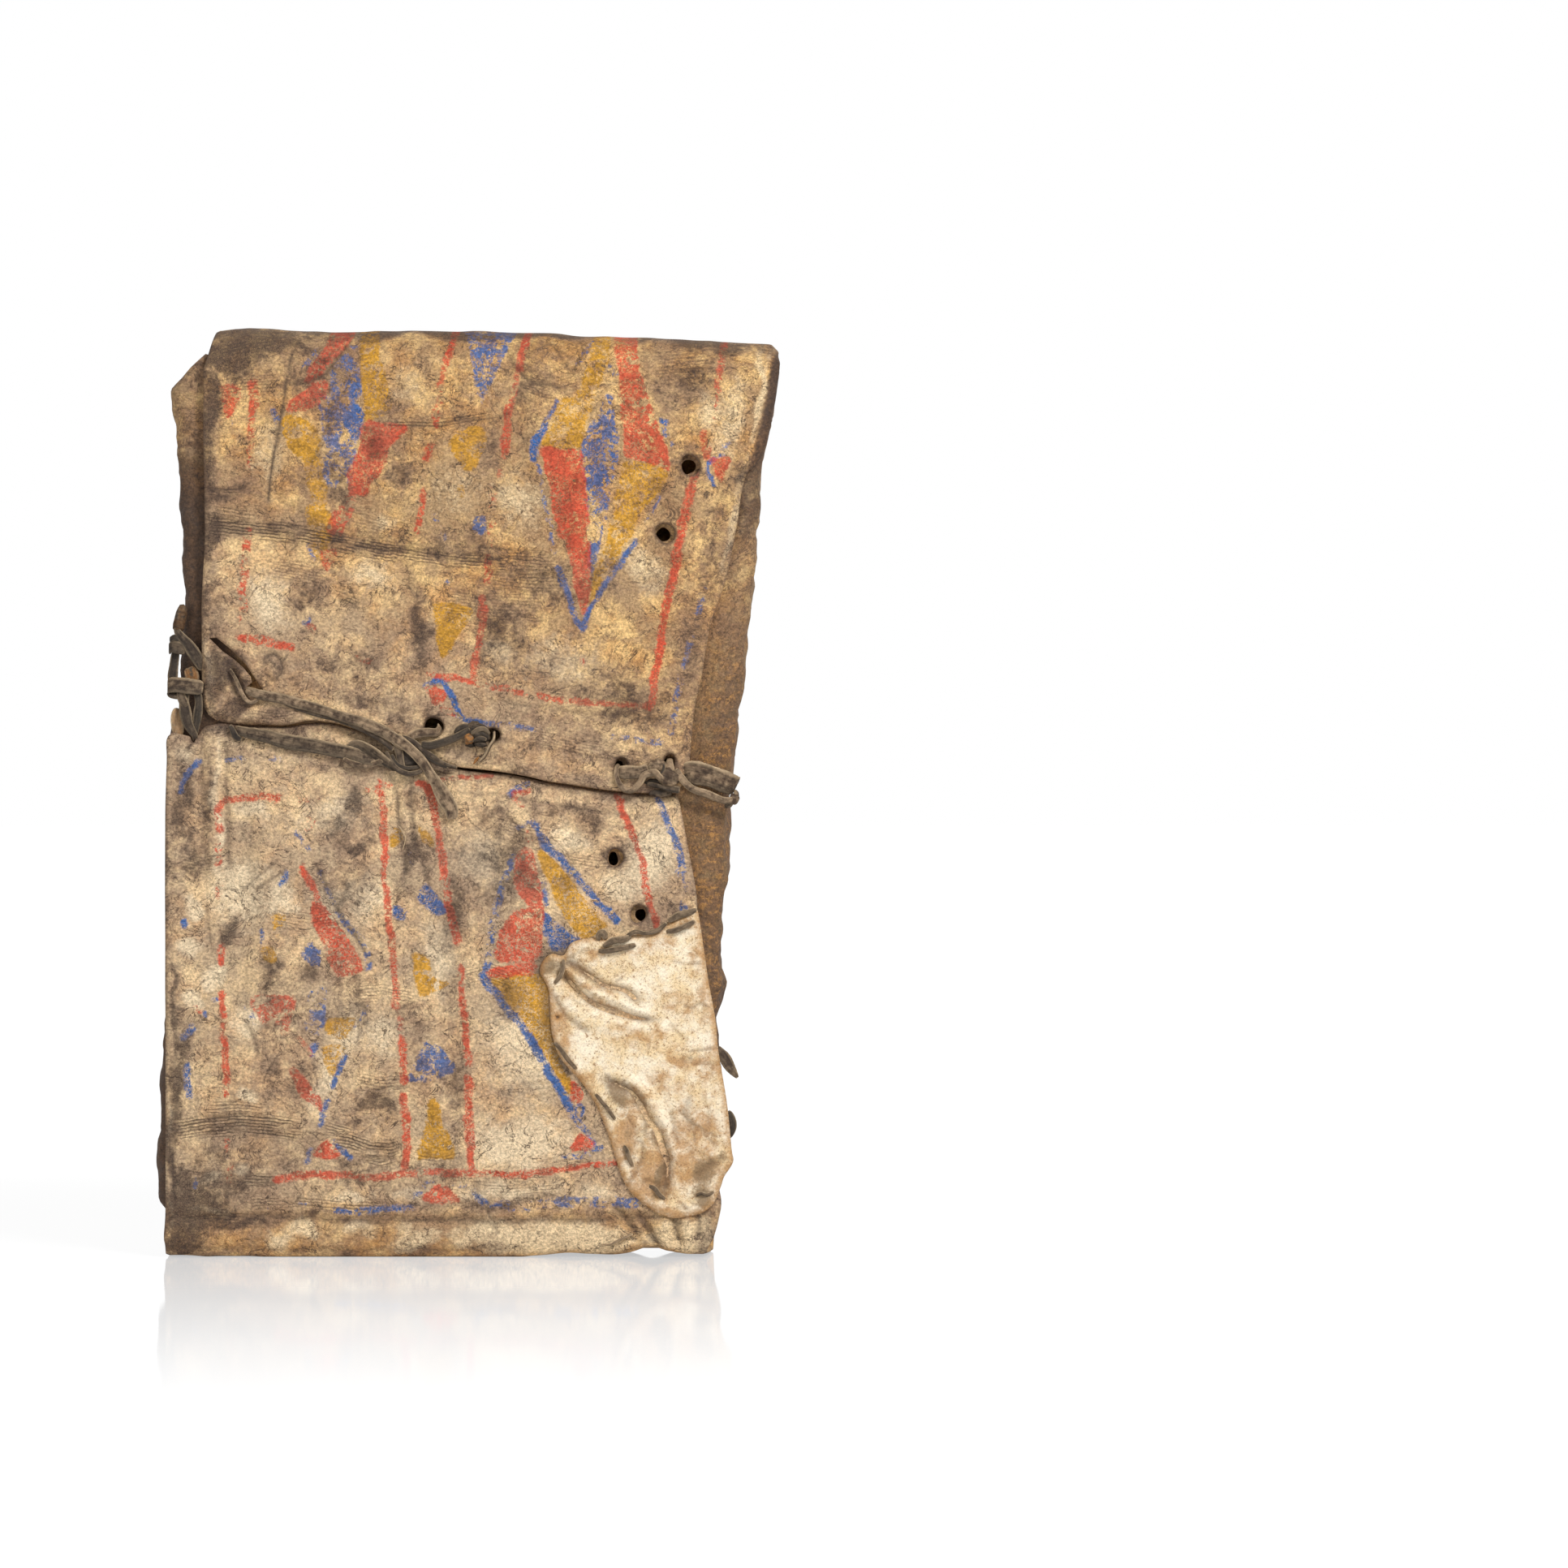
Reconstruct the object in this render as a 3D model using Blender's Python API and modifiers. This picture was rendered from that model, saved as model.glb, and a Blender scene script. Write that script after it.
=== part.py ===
"""A painted rawhide envelope case, standing on its bottom fold with its two end flaps closed.

Metres, +Z up. The front faces -Y and the origin is under the middle of the case.
One hide is folded into the case. It is divided here at its creases, so that each end flap can
turn on its own crease. Leather thongs tie the flaps, and a patch is laced over the lower one.
"""

import math

import bmesh
import bpy
from mathutils import Vector

# Driving dimensions of the folded hide
CASE_WIDTH = 0.418
CASE_HEIGHT = 0.628
CASE_DEPTH = 0.064
HIDE = 0.003
CLEARANCE = 0.0003
TIE_PROUD = 0.010

# The width and height that the places below were measured on: they move with the case's sizes
MEASURED_ON = (0.418, 0.628)
ACROSS = CASE_WIDTH / MEASURED_ON[0]
UP = CASE_HEIGHT / MEASURED_ON[1]

# Creases, folds and corners
TOP_FOLD_RISE = 0.026
TOP_FOLD_DROP = 0.010
BOTTOM_FOLD_RISE = 0.026
BASE_CORNER = 0.008
SIDE_CORNER = 0.012
SIDE_HEM = 0.004
CREASE_HEM = 0.002
LAYER_GAP = 0.0035
SEAM_GAP = 0.0012
CORNER_LAND = 0.001

# Side flaps, folded in under the end flaps, with the mouth of the case between their free edges
LEFT_FREE_EDGE = -0.045
RIGHT_FREE_EDGE = 0.050
SIDE_TOP_SLANT = 0.014

# How far each edge is drawn in from the full width, as (height, distance)
LEFT_DRAW = [(0.0, 0.004), (0.09, 0.0), (0.26, 0.0045), (0.44, 0.0165), (0.602, 0.0080)]
RIGHT_DRAW = [(0.0, 0.044), (0.04, 0.0355), (0.2, 0.0375), (0.3, 0.0314), (0.42, 0.0200),
              (0.5, 0.0130), (0.55, 0.0045), (0.602, 0.0)]
UPPER_LEFT_DRAW = [(0.365, 0.0365), (0.385, 0.0305), (0.602, 0.0308)]
UPPER_RIGHT_DRAW = [(0.315, 0.0690), (0.338, 0.0610), (0.3685, 0.0555), (0.4235, 0.0484),
                    (0.4675, 0.0280), (0.5335, 0.0170), (0.602, 0.0)]
LOWER_LEFT_DRAW = [(0.026, 0.0060), (0.12, 0.0045), (0.33, 0.0050), (0.3548, 0.0090)]
LOWER_RIGHT_DRAW = [(0.0275, 0.0385), (0.0825, 0.0385), (0.1375, 0.0418), (0.198, 0.0484),
                    (0.2365, 0.0539), (0.2695, 0.0583), (0.3025, 0.0649), (0.316, 0.0693)]

# Where the end flaps meet, as (x, height)
SEAM = [(-0.209, 0.3545), (-0.186, 0.3565), (-0.172, 0.3640), (-0.135, 0.3600),
        (-0.080, 0.3600), (-0.053, 0.3515), (-0.026, 0.3440), (-0.014, 0.3340),
        (0.024, 0.3300), (0.055, 0.3234), (0.094, 0.3174), (0.140, 0.3150)]

# Lacing holes, as (x, height, radius)
UPPER_HOLES = [(0.1513, 0.5374, 0.0063), (0.1342, 0.4906, 0.0063), (-0.0231, 0.3615, 0.0058),
               (0.0171, 0.3545, 0.0045), (0.1040, 0.3350, 0.0042), (0.1370, 0.3380, 0.0036),
               (-0.1496, 0.3820, 0.0042)]
LOWER_HOLES = [(0.0996, 0.2706, 0.0055), (0.1155, 0.2327, 0.0055), (-0.1579, 0.3520, 0.0035)]

# The cut that lets the upper flap's left corner fold over
CORNER_SLIT = [(-0.1700, 0.4180), (-0.1380, 0.3850)]
SLIT_WIDTH = 0.0016

# Thongs, as routes of (x, height) with a width at each end
THONG = 0.0018
UPPER_STRAP = [(-0.1496, 0.3820), (-0.1282, 0.3790), (-0.0842, 0.3674), (-0.0616, 0.3608),
               (-0.0450, 0.3560)]
UPPER_STRAP_WIDTHS = (0.0070, 0.0060)
LOWER_STRAP = [(-0.1579, 0.3520), (-0.1221, 0.3490), (-0.0825, 0.3400), (-0.0616, 0.3370),
               (-0.0480, 0.3360)]
LOWER_STRAP_WIDTHS = (0.0085, 0.0080)
TAIL = [(-0.0330, 0.3300), (-0.0240, 0.3200), (-0.0120, 0.3080), (-0.0095, 0.2990)]
TAIL_WIDTHS = (0.0070, 0.0120)
TOGGLE_THONG = [(-0.0290, 0.3500), (-0.0160, 0.3500), (-0.0050, 0.3545)]
TOGGLE_THONG_WIDTHS = (0.0060, 0.0060)
TOGGLE_TAIL = [(0.0150, 0.3470), (0.0110, 0.3410), (0.0070, 0.3370)]
TOGGLE_TAIL_WIDTHS = (0.0050, 0.0050)
RIGHT_BAND = [(0.1450, 0.3320), (0.1560, 0.3310), (0.1680, 0.3280)]
RIGHT_BAND_WIDTH = 0.0140
RIGHT_CORD = [(0.1412, 0.3222), (0.1560, 0.3150), (0.1700, 0.3125)]
RIGHT_CORD_RADIUS = 0.0022
RIGHT_WRAP = 0.012
WRAP_CORNER = 0.003
RIGHT_LOOP_BAND = [(0.1040, 0.3330), (0.1220, 0.3330)]
RIGHT_LOOP_BAND_WIDTH = 0.0070
RIGHT_LOOP_CENTRE = (0.1125, 0.3265)
RIGHT_LOOP_SIZE = (0.0082, 0.0060)
RIGHT_LOOP_RADIUS = 0.0013
RIGHT_LOOP_START = 175
RIGHT_LOOP_END = 352

# Knots, as a centre (x, height) and half sizes across, forward and up
TIE_KNOT = (-0.0385, 0.3350)
TIE_KNOT_SIZE = (0.0100, 0.0048, 0.0078)
TOGGLE_KNOT = (0.0050, 0.3535)
TOGGLE_KNOT_SIZE = (0.0085, 0.0045, 0.0075)
RIGHT_KNOT = (0.1310, 0.3290)
RIGHT_KNOT_SIZE = (0.0090, 0.0047, 0.0080)

# Loops round the left edge, as the height of each
EDGE_LOOPS = [0.4060, 0.3790]
EDGE_LOOP_RADIUS = 0.0024
EDGE_LOOP_FRONT_REACH = 0.011
EDGE_LOOP_BACK_REACH = 0.030
EDGE_LOOP_BEND = 0.009
EDGE_STRAND = [(-0.1935, 0.4420), (-0.1900, 0.4250), (-0.1850, 0.4050), (-0.1845, 0.3850),
               (-0.1865, 0.3640)]
EDGE_STRAND_WIDTH = 0.0075

# The patch laced over the lower flap's right corner, as (x, height)
PATCH_THICKNESS = 0.0024
PATCH_OUTLINE = [(0.0495, 0.2002), (0.0682, 0.2118), (0.0875, 0.2156), (0.1177, 0.2211),
                 (0.1545, 0.2310), (0.1600, 0.2228), (0.1672, 0.1760), (0.1700, 0.1430),
                 (0.1755, 0.0825), (0.1790, 0.0650), (0.1744, 0.0523), (0.1672, 0.0385),
                 (0.1562, 0.0286), (0.1452, 0.0264), (0.1320, 0.0280), (0.1150, 0.0440),
                 (0.1012, 0.0715), (0.0957, 0.0908), (0.0765, 0.1320), (0.0600, 0.1540),
                 (0.0545, 0.1815)]
STITCHES = [(0.0625, 0.1935, 0.010, 20), (0.1015, 0.2095, 0.024, 8), (0.1445, 0.2232, 0.020, 26),
            (0.0680, 0.1545, 0.018, -50), (0.0940, 0.1015, 0.018, -52), (0.1095, 0.0690, 0.009, -70),
            (0.1290, 0.0450, 0.012, -50), (0.1520, 0.0370, 0.009, 15), (0.1640, 0.0520, 0.012, 60)]
STITCH_RADIUS = 0.0013
TAB_GAP = 0.0006
TAB_SHOULDER = 0.6
EDGE_TABS = [(0.1325, 0.0150, 0.0210), (0.0800, 0.0120, 0.0230)]

# Mesh detail
BACK_COLUMNS = 4
TOP_COLUMNS = 8
BOTTOM_COLUMNS = 6
ROUND_SIDES = 20
KNOT_SIDES = 16
KNOT_ROWS = 10
LOOP_BAND_STEPS = 4
SEAM_STEPS = 8
STRAP_STEPS = 14
LOOP_STEPS = 10
CORNER_STEPS = 5
ARCH_STEPS = 18
OUTLINE_STEPS = 2
PANEL_ROWS = 12
FLAP_ROWS = 12
WIRE_STEPS = 2
ROUTE_STEP = 0.02

# Places that follow from the sizes
BACK_Y = (CASE_DEPTH + TIE_PROUD) / 2
FRONT_Y = BACK_Y - CASE_DEPTH
MIDDLE_Y = (FRONT_Y + BACK_Y) / 2
SIDE_FLAP_Y = FRONT_Y + HIDE + LAYER_GAP
UPPER_CREASE = CASE_HEIGHT - TOP_FOLD_RISE
LOWER_CREASE = BOTTOM_FOLD_RISE

ROUGHNESS = 0.75
COLOURS = {
    "rawhide": (0.62, 0.49, 0.34, 1.0),
    "patch_hide": (0.76, 0.67, 0.51, 1.0),
    "thong": (0.27, 0.22, 0.17, 1.0),
}


def along(points, place):
    """The value at a place on a list of (place, value), straight between its points."""
    if place <= points[0][0]:
        return points[0][1]
    for (start, low), (end, high) in zip(points, points[1:]):
        if place <= end:
            return low + (high - low) * (place - start) / (end - start)
    return points[-1][1]


def fitted(points):
    """Points of (x, height, ...) moved with the case's width and height."""
    return [(x * ACROSS, height * UP, *rest) for x, height, *rest in points]


def left_of(draws, height):
    return -CASE_WIDTH / 2 + along(draws, height / UP) * ACROSS


def right_of(draws, height):
    return CASE_WIDTH / 2 - along(draws, height / UP) * ACROSS


def seam_at(x):
    return along(SEAM, x / ACROSS) * UP


def smooth_route(points, share):
    """A point on a smooth curve through the route's points, from 0 at its start to 1 at its end."""
    runs = len(points) - 1
    run = min(int(share * runs), runs - 1)
    t = share * runs - run
    near = [Vector(points[min(max(run + k, 0), runs)]) for k in (-1, 0, 1, 2)]
    before, start, end, after = near
    bend = (2 * before - 5 * start + 4 * end - after) * t * t
    twist = (3 * start - before - 3 * end + after) * t * t * t
    return (2 * start + (end - before) * t + bend + twist) / 2


def material(name):
    made = bpy.data.materials.get(name)
    if made is None:
        made = bpy.data.materials.new(name)
        made.use_nodes = True
        shader = made.node_tree.nodes["Principled BSDF"]
        shader.inputs["Base Color"].default_value = COLOURS[name]
        shader.inputs["Roughness"].default_value = ROUGHNESS
        shader.inputs["Metallic"].default_value = 0.0
    return made


def collection(name):
    made = bpy.data.collections.new(name)
    bpy.context.scene.collection.children.link(made)
    return made


def add_object(name, data, finish):
    made = bpy.data.objects.new(name, data)
    data.materials.append(material(finish))
    PARTS.objects.link(made)
    return made


def sheet(name, place, columns, rows, thickness, finish):
    """A skin whose outer face is place(u, v), grown inwards to its thickness."""
    mesh = bpy.data.meshes.new(name)
    grid = bmesh.new()
    bmesh.ops.create_grid(grid, x_segments=columns, y_segments=rows, size=0.5)
    for vertex in grid.verts:
        vertex.co = place(vertex.co.x + 0.5, vertex.co.y + 0.5)
    grid.to_mesh(mesh)
    grid.free()
    made = add_object(name, mesh, finish)
    thick = made.modifiers.new("Thickness", "SOLIDIFY")
    thick.thickness = thickness
    thick.offset = -1
    thick.use_even_offset = True
    return made


def tube(name, points, radius, finish, cyclic=False):
    """A round thong along points, with closed ends unless it is a ring."""
    curve = bpy.data.curves.new(name, "CURVE")
    curve.dimensions = "3D"
    curve.bevel_depth = radius
    curve.bevel_resolution = WIRE_STEPS
    curve.use_fill_caps = not cyclic
    spline = curve.splines.new("POLY")
    spline.points.add(len(points) - 1)
    for knot, point in zip(spline.points, points):
        knot.co = (*point, 1.0)
    spline.use_cyclic_u = cyclic
    return add_object(name, curve, finish)


def smooth_ring(points):
    """A closed outline with rounded corners through the points."""
    count = len(points)
    ring = []
    for k in range(count):
        near = [points[(k + shift) % count] for shift in (-1, 0, 1, 2)]
        for step in range(OUTLINE_STEPS):
            spot = smooth_route(near, (1 + step / OUTLINE_STEPS) / 3)
            ring.append((spot.x, spot.y))
    return ring


def plate(name, outline, front_y, thickness, finish):
    """A flat piece cut to an outline of (x, height), with its front face at front_y."""
    curve = bpy.data.curves.new(name, "CURVE")
    curve.dimensions = "2D"
    curve.fill_mode = "BOTH"
    curve.extrude = thickness / 2
    spline = curve.splines.new("POLY")
    spline.points.add(len(outline) - 1)
    for knot, (x, height) in zip(spline.points, outline):
        knot.co = (x, height, 0.0, 1.0)
    spline.use_cyclic_u = True
    made = add_object(name, curve, finish)
    made.location = (0, front_y + thickness / 2, 0)
    made.rotation_euler = (math.pi / 2, 0, 0)
    return made


def cutter(name, mesh_maker):
    mesh = bpy.data.meshes.new(name)
    shape = bmesh.new()
    mesh_maker(shape)
    shape.to_mesh(mesh)
    shape.free()
    made = bpy.data.objects.new(name, mesh)
    made.hide_render = True
    made.display_type = "WIRE"
    CUTTERS.objects.link(made)
    return made


def cut(target, tool):
    removal = target.modifiers.new("Cut " + tool.name, "BOOLEAN")
    removal.operation = "DIFFERENCE"
    removal.object = tool


def punch(target, name, x, height, radius):
    """A round lacing hole, right through a front flap."""
    def drill(shape):
        bmesh.ops.create_cone(shape, cap_ends=True, segments=ROUND_SIDES, radius1=radius,
                              radius2=radius, depth=4 * HIDE)
    tool = cutter(name, drill)
    tool.location = (x, FRONT_Y + HIDE / 2, height)
    tool.rotation_euler = (math.pi / 2, 0, 0)
    cut(target, tool)


def back_panel():
    low = LOWER_CREASE + CLEARANCE
    high = UPPER_CREASE - CLEARANCE

    def place(u, v):
        z = low + (high - low) * v
        left = left_of(LEFT_DRAW, z) + SIDE_CORNER + SIDE_HEM + CLEARANCE
        right = right_of(RIGHT_DRAW, z) - SIDE_CORNER - SIDE_HEM - CLEARANCE
        return (right + (left - right) * u, BACK_Y, z)
    sheet("back_panel", place, BACK_COLUMNS, PANEL_ROWS, HIDE, "rawhide")


def top_fold():
    """The hide arches from the upper flap's crease back to the back panel."""
    left = left_of(UPPER_LEFT_DRAW, UPPER_CREASE)
    right = right_of(UPPER_RIGHT_DRAW, UPPER_CREASE)

    def place(u, v):
        turn = math.pi * (round(v * (ARCH_STEPS + 2)) - 1) / ARCH_STEPS
        turn = min(max(turn, 0.0), math.pi)
        hem = 0.0 if v in (0.0, 1.0) else CREASE_HEM
        rise = (TOP_FOLD_RISE - CREASE_HEM - TOP_FOLD_DROP * u) * math.sin(turn)
        y = MIDDLE_Y - CASE_DEPTH / 2 * math.cos(turn)
        return (left + (right - left) * u, y, UPPER_CREASE + hem + rise)
    sheet("top_fold", place, TOP_COLUMNS, ARCH_STEPS + 2, HIDE, "rawhide")


def base_section():
    """The bottom fold's outer line as (y, height): down the back, along the base, up the front."""
    line = [(BACK_Y, LOWER_CREASE)]
    for k in range(CORNER_STEPS + 1):
        turn = math.pi / 2 * k / CORNER_STEPS
        line.append((BACK_Y - BASE_CORNER * (1 - math.cos(turn)), BASE_CORNER * (1 - math.sin(turn))))
    for k in range(CORNER_STEPS + 1):
        turn = math.pi / 2 * k / CORNER_STEPS
        line.append((FRONT_Y + BASE_CORNER * (1 - math.sin(turn)), BASE_CORNER * (1 - math.cos(turn))))
    line.append((FRONT_Y, LOWER_CREASE))
    return line


def bottom_fold():
    line = base_section()

    def place(u, v):
        y, z = line[round(v * (len(line) - 1))]
        left = left_of(LEFT_DRAW, z)
        right = right_of(RIGHT_DRAW, z)
        return (left + (right - left) * u, y, z)
    sheet("bottom_fold", place, BOTTOM_COLUMNS, len(line) - 1, HIDE, "rawhide")


def side_section(side, edge, free_edge):
    """A side flap's outer line as (x, y), from its free edge round to the back panel."""
    inward = -side
    line = [(free_edge, SIDE_FLAP_Y), ((edge + free_edge) / 2, SIDE_FLAP_Y)]
    for k in range(CORNER_STEPS + 1):
        turn = math.pi / 2 * k / CORNER_STEPS
        line.append((edge + inward * SIDE_CORNER * (1 - math.sin(turn)),
                     SIDE_FLAP_Y + SIDE_CORNER * (1 - math.cos(turn))))
    for k in range(CORNER_STEPS + 1):
        turn = math.pi / 2 * k / CORNER_STEPS
        line.append((edge + inward * SIDE_CORNER * (1 - math.cos(turn)),
                     BACK_Y - SIDE_CORNER * (1 - math.sin(turn))))
    line.append((edge + inward * (SIDE_CORNER + SIDE_HEM), BACK_Y))
    return line


def side_flap(name, side, edge_at, free_edge):
    """One side wall with the inner flap that folds from it over the contents."""
    count = len(side_section(side, 0.0, free_edge))
    low = LOWER_CREASE + CLEARANCE
    high = UPPER_CREASE - CLEARANCE

    def place(u, v):
        step = round((u if side > 0 else 1 - u) * (count - 1))
        top = high - SIDE_TOP_SLANT * math.sin(math.pi * step / (count - 1))
        z = low + (top - low) * v
        x, y = side_section(side, edge_at(z), free_edge)[step]
        return (x, y, z)
    sheet(name, place, count - 1, PANEL_ROWS, HIDE, "rawhide")


def left_side_edge(height):
    return left_of(LEFT_DRAW, height)


def right_side_edge(height):
    return right_of(RIGHT_DRAW, height)


def seam_corner(edge_at):
    """Where a flap's side edge meets the seam."""
    x = edge_at(SEAM[-1][1] * UP)
    for _ in range(SEAM_STEPS):
        x = edge_at(seam_at(x))
    return x


def end_flap(name, crease, left_draws, right_draws, seam_shift):
    """A front flap from its crease to the seam, with a column at each point of the seam."""
    def left_edge(height):
        return left_of(left_draws, height)

    def right_edge(height):
        return right_of(right_draws, height)
    left = seam_corner(left_edge)
    right = seam_corner(right_edge)
    inside = [x for x, _ in fitted(SEAM) if left + CORNER_LAND < x < right - CORNER_LAND]
    stations = [left] + inside + [right]
    columns = len(stations) - 1
    upward = seam_shift < 0

    def place(u, v):
        x = stations[round(u * columns)]
        share = (x - left) / (right - left)
        end = seam_at(x) + seam_shift
        z = crease + (end - crease) * (v if upward else 1 - v)
        return (left_edge(z) * (1 - share) + right_edge(z) * share, FRONT_Y, z)
    return sheet(name, place, columns, FLAP_ROWS, HIDE, "rawhide")


def upper_end_flap():
    flap = end_flap("upper_end_flap", UPPER_CREASE - CLEARANCE, UPPER_LEFT_DRAW,
                    UPPER_RIGHT_DRAW, SEAM_GAP / 2)
    for number, (x, height, radius) in enumerate(fitted(UPPER_HOLES), 1):
        punch(flap, f"upper_hole_{number}", x, height, radius)
    start, end = (Vector(p) for p in fitted(CORNER_SLIT))
    run = end - start

    def slit(shape):
        bmesh.ops.create_cube(shape, size=1.0)
        bmesh.ops.scale(shape, vec=(run.length, 4 * HIDE, SLIT_WIDTH), verts=shape.verts)
    tool = cutter("corner_slit", slit)
    middle = (start + end) / 2
    tool.location = (middle.x, FRONT_Y + HIDE / 2, middle.y)
    tool.rotation_euler = (0, -math.atan2(run.y, run.x), 0)
    cut(flap, tool)


def lower_end_flap():
    flap = end_flap("lower_end_flap", LOWER_CREASE + CLEARANCE, LOWER_LEFT_DRAW,
                    LOWER_RIGHT_DRAW, -SEAM_GAP / 2)
    for number, (x, height, radius) in enumerate(fitted(LOWER_HOLES), 1):
        punch(flap, f"lower_hole_{number}", x, height, radius)


def strap(name, route, widths, back_y, steps=STRAP_STEPS):
    """A flat thong along a route of (x, height), with its back face at back_y."""
    line = fitted(route)

    def place(u, v):
        here = smooth_route(line, u)
        ahead = smooth_route(line, min(u + ROUTE_STEP, 1.0)) - smooth_route(line, max(u - ROUTE_STEP, 0.0))
        side = Vector((-ahead.y, ahead.x)).normalized()
        width = widths[0] + (widths[1] - widths[0]) * u
        spot = here + side * width * (v - 0.5)
        return (spot.x, back_y - THONG, spot.y)
    return sheet(name, place, steps, 1, THONG, "thong")


def knot(name, centre, size):
    """A flattened knot that rests on the flap, and the space that thongs leave round it."""
    x, height = fitted([centre])[0]
    made = []
    for label, extra in ((name, 0.0), (name + "_space", CLEARANCE)):
        mesh = bpy.data.meshes.new(label)
        ball = bmesh.new()
        bmesh.ops.create_uvsphere(ball, u_segments=KNOT_SIDES, v_segments=KNOT_ROWS, radius=1.0)
        scale = [half + extra for half in size]
        bmesh.ops.scale(ball, vec=scale, verts=ball.verts)
        ball.to_mesh(mesh)
        ball.free()
        made.append(mesh)
    place = (x, FRONT_Y - CLEARANCE - size[1], height)
    solid = add_object(name, made[0], "thong")
    solid.location = place
    mesh = solid.data
    mesh.shade_smooth()
    space = bpy.data.objects.new(name + "_space", made[1])
    space.location = place
    space.hide_render = True
    space.display_type = "WIRE"
    CUTTERS.objects.link(space)
    return space


def front_ties():
    """The two thongs that meet in the middle knot, one on each flap, and the knot's tail."""
    face = FRONT_Y - CLEARANCE
    strap("upper_tie_thong", UPPER_STRAP, UPPER_STRAP_WIDTHS, face)
    space = knot("tie_knot", TIE_KNOT, TIE_KNOT_SIZE)
    cut(strap("lower_tie_thong", LOWER_STRAP, LOWER_STRAP_WIDTHS, face), space)
    cut(strap("tie_tail", TAIL, TAIL_WIDTHS, face), space)


def toggle():
    """The short thong with a toggle knot, beside the middle tie."""
    face = FRONT_Y - CLEARANCE
    space = knot("toggle_knot", TOGGLE_KNOT, TOGGLE_KNOT_SIZE)
    cut(strap("toggle_thong", TOGGLE_THONG, TOGGLE_THONG_WIDTHS, face), space)
    cut(strap("toggle_tail", TOGGLE_TAIL, TOGGLE_TAIL_WIDTHS, face), space)


def right_wrap_route(route, out_y):
    """A route on the flap that goes on round the case's right edge."""
    points = [(x, out_y, height) for x, height in fitted(route)]
    height = points[-1][2]
    edge = right_of(RIGHT_DRAW, height)
    turn_x = edge + 2 * CLEARANCE + FRONT_Y - out_y
    points.append((turn_x - WRAP_CORNER, out_y, height))
    points.append((turn_x, out_y + WRAP_CORNER, height))
    points.append((turn_x, out_y + RIGHT_WRAP, height))
    return points


def right_tie():
    """The tie at the upper flap's right corner, with its band and cord to the case's side."""
    face = FRONT_Y - CLEARANCE
    space = knot("right_knot", RIGHT_KNOT, RIGHT_KNOT_SIZE)
    band_line = right_wrap_route(RIGHT_BAND, face - THONG)
    runs = len(band_line) - 1

    def band_place(u, v):
        x, y, z = band_line[round(u * runs)]
        return (x, y, z + RIGHT_BAND_WIDTH * (v - 0.5))
    sheet("right_band", band_place, runs, 1, THONG, "thong")
    cord_line = right_wrap_route(RIGHT_CORD, face - RIGHT_CORD_RADIUS)
    tube("right_cord", cord_line, RIGHT_CORD_RADIUS, "thong")
    loop_band = strap("right_loop_band", RIGHT_LOOP_BAND,
                      (RIGHT_LOOP_BAND_WIDTH, RIGHT_LOOP_BAND_WIDTH), face, LOOP_BAND_STEPS)
    cut(loop_band, space)
    middle_x, middle_height = fitted([RIGHT_LOOP_CENTRE])[0]
    across, up = RIGHT_LOOP_SIZE
    bight = []
    for k in range(LOOP_STEPS + 1):
        turn = math.radians(RIGHT_LOOP_START + (RIGHT_LOOP_END - RIGHT_LOOP_START) * k / LOOP_STEPS)
        bight.append((middle_x + across * math.cos(turn), face - RIGHT_LOOP_RADIUS,
                      middle_height + up * math.sin(turn)))
    tube("right_loop_cord", bight, RIGHT_LOOP_RADIUS, "thong")


def edge_ties():
    """The thongs wrapped round the case's left edge, beside the upper flap."""
    for number, measured in enumerate(EDGE_LOOPS, 1):
        height = measured * UP
        edge = left_of(LEFT_DRAW, height) - CLEARANCE - EDGE_LOOP_RADIUS
        front = SIDE_FLAP_Y - CLEARANCE - EDGE_LOOP_RADIUS
        start = Vector((edge + EDGE_LOOP_FRONT_REACH, front, height))
        line = [start]
        for k in range(CORNER_STEPS + 1):
            turn = math.pi / 2 * k / CORNER_STEPS
            line.append(Vector((edge + EDGE_LOOP_BEND * (1 - math.sin(turn)),
                                front + EDGE_LOOP_BEND * (1 - math.cos(turn)), height)))
        line.append(Vector((edge, front + EDGE_LOOP_BACK_REACH, height)))
        tube(f"edge_loop_{number}", line, EDGE_LOOP_RADIUS, "thong")
    loop_front = SIDE_FLAP_Y - 2 * CLEARANCE - 2 * EDGE_LOOP_RADIUS
    strap("edge_strand", EDGE_STRAND, (EDGE_STRAND_WIDTH, EDGE_STRAND_WIDTH), loop_front)


def patch():
    """The patch, its lacing, and the two tabs where its lacing comes out at the edge."""
    patch_front = FRONT_Y - CLEARANCE - PATCH_THICKNESS
    plate("patch", smooth_ring(fitted(PATCH_OUTLINE)), patch_front, PATCH_THICKNESS, "patch_hide")
    for number, (x, height, length, angle) in enumerate(fitted(STITCHES), 1):
        lean = math.radians(angle)
        half = Vector((math.cos(lean), 0, math.sin(lean))) * length / 2
        middle = Vector((x, patch_front - CLEARANCE - STITCH_RADIUS, height))
        tube(f"patch_stitch_{number}", [middle - half, middle, middle + half], STITCH_RADIUS, "thong")
    for number, (measured, width, tall) in enumerate(EDGE_TABS, 1):
        height = measured * UP
        low = height - tall / 2
        high = height + tall / 2
        inner_low = right_of(LOWER_RIGHT_DRAW, low) + TAB_GAP
        inner_high = right_of(LOWER_RIGHT_DRAW, high) + TAB_GAP
        outline = [(inner_low, low), (inner_low + width * TAB_SHOULDER, low), (inner_low + width, height),
                   (inner_high + width * TAB_SHOULDER, high), (inner_high, high)]
        plate(f"edge_tab_{number}", outline, FRONT_Y, HIDE, "thong")


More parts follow.
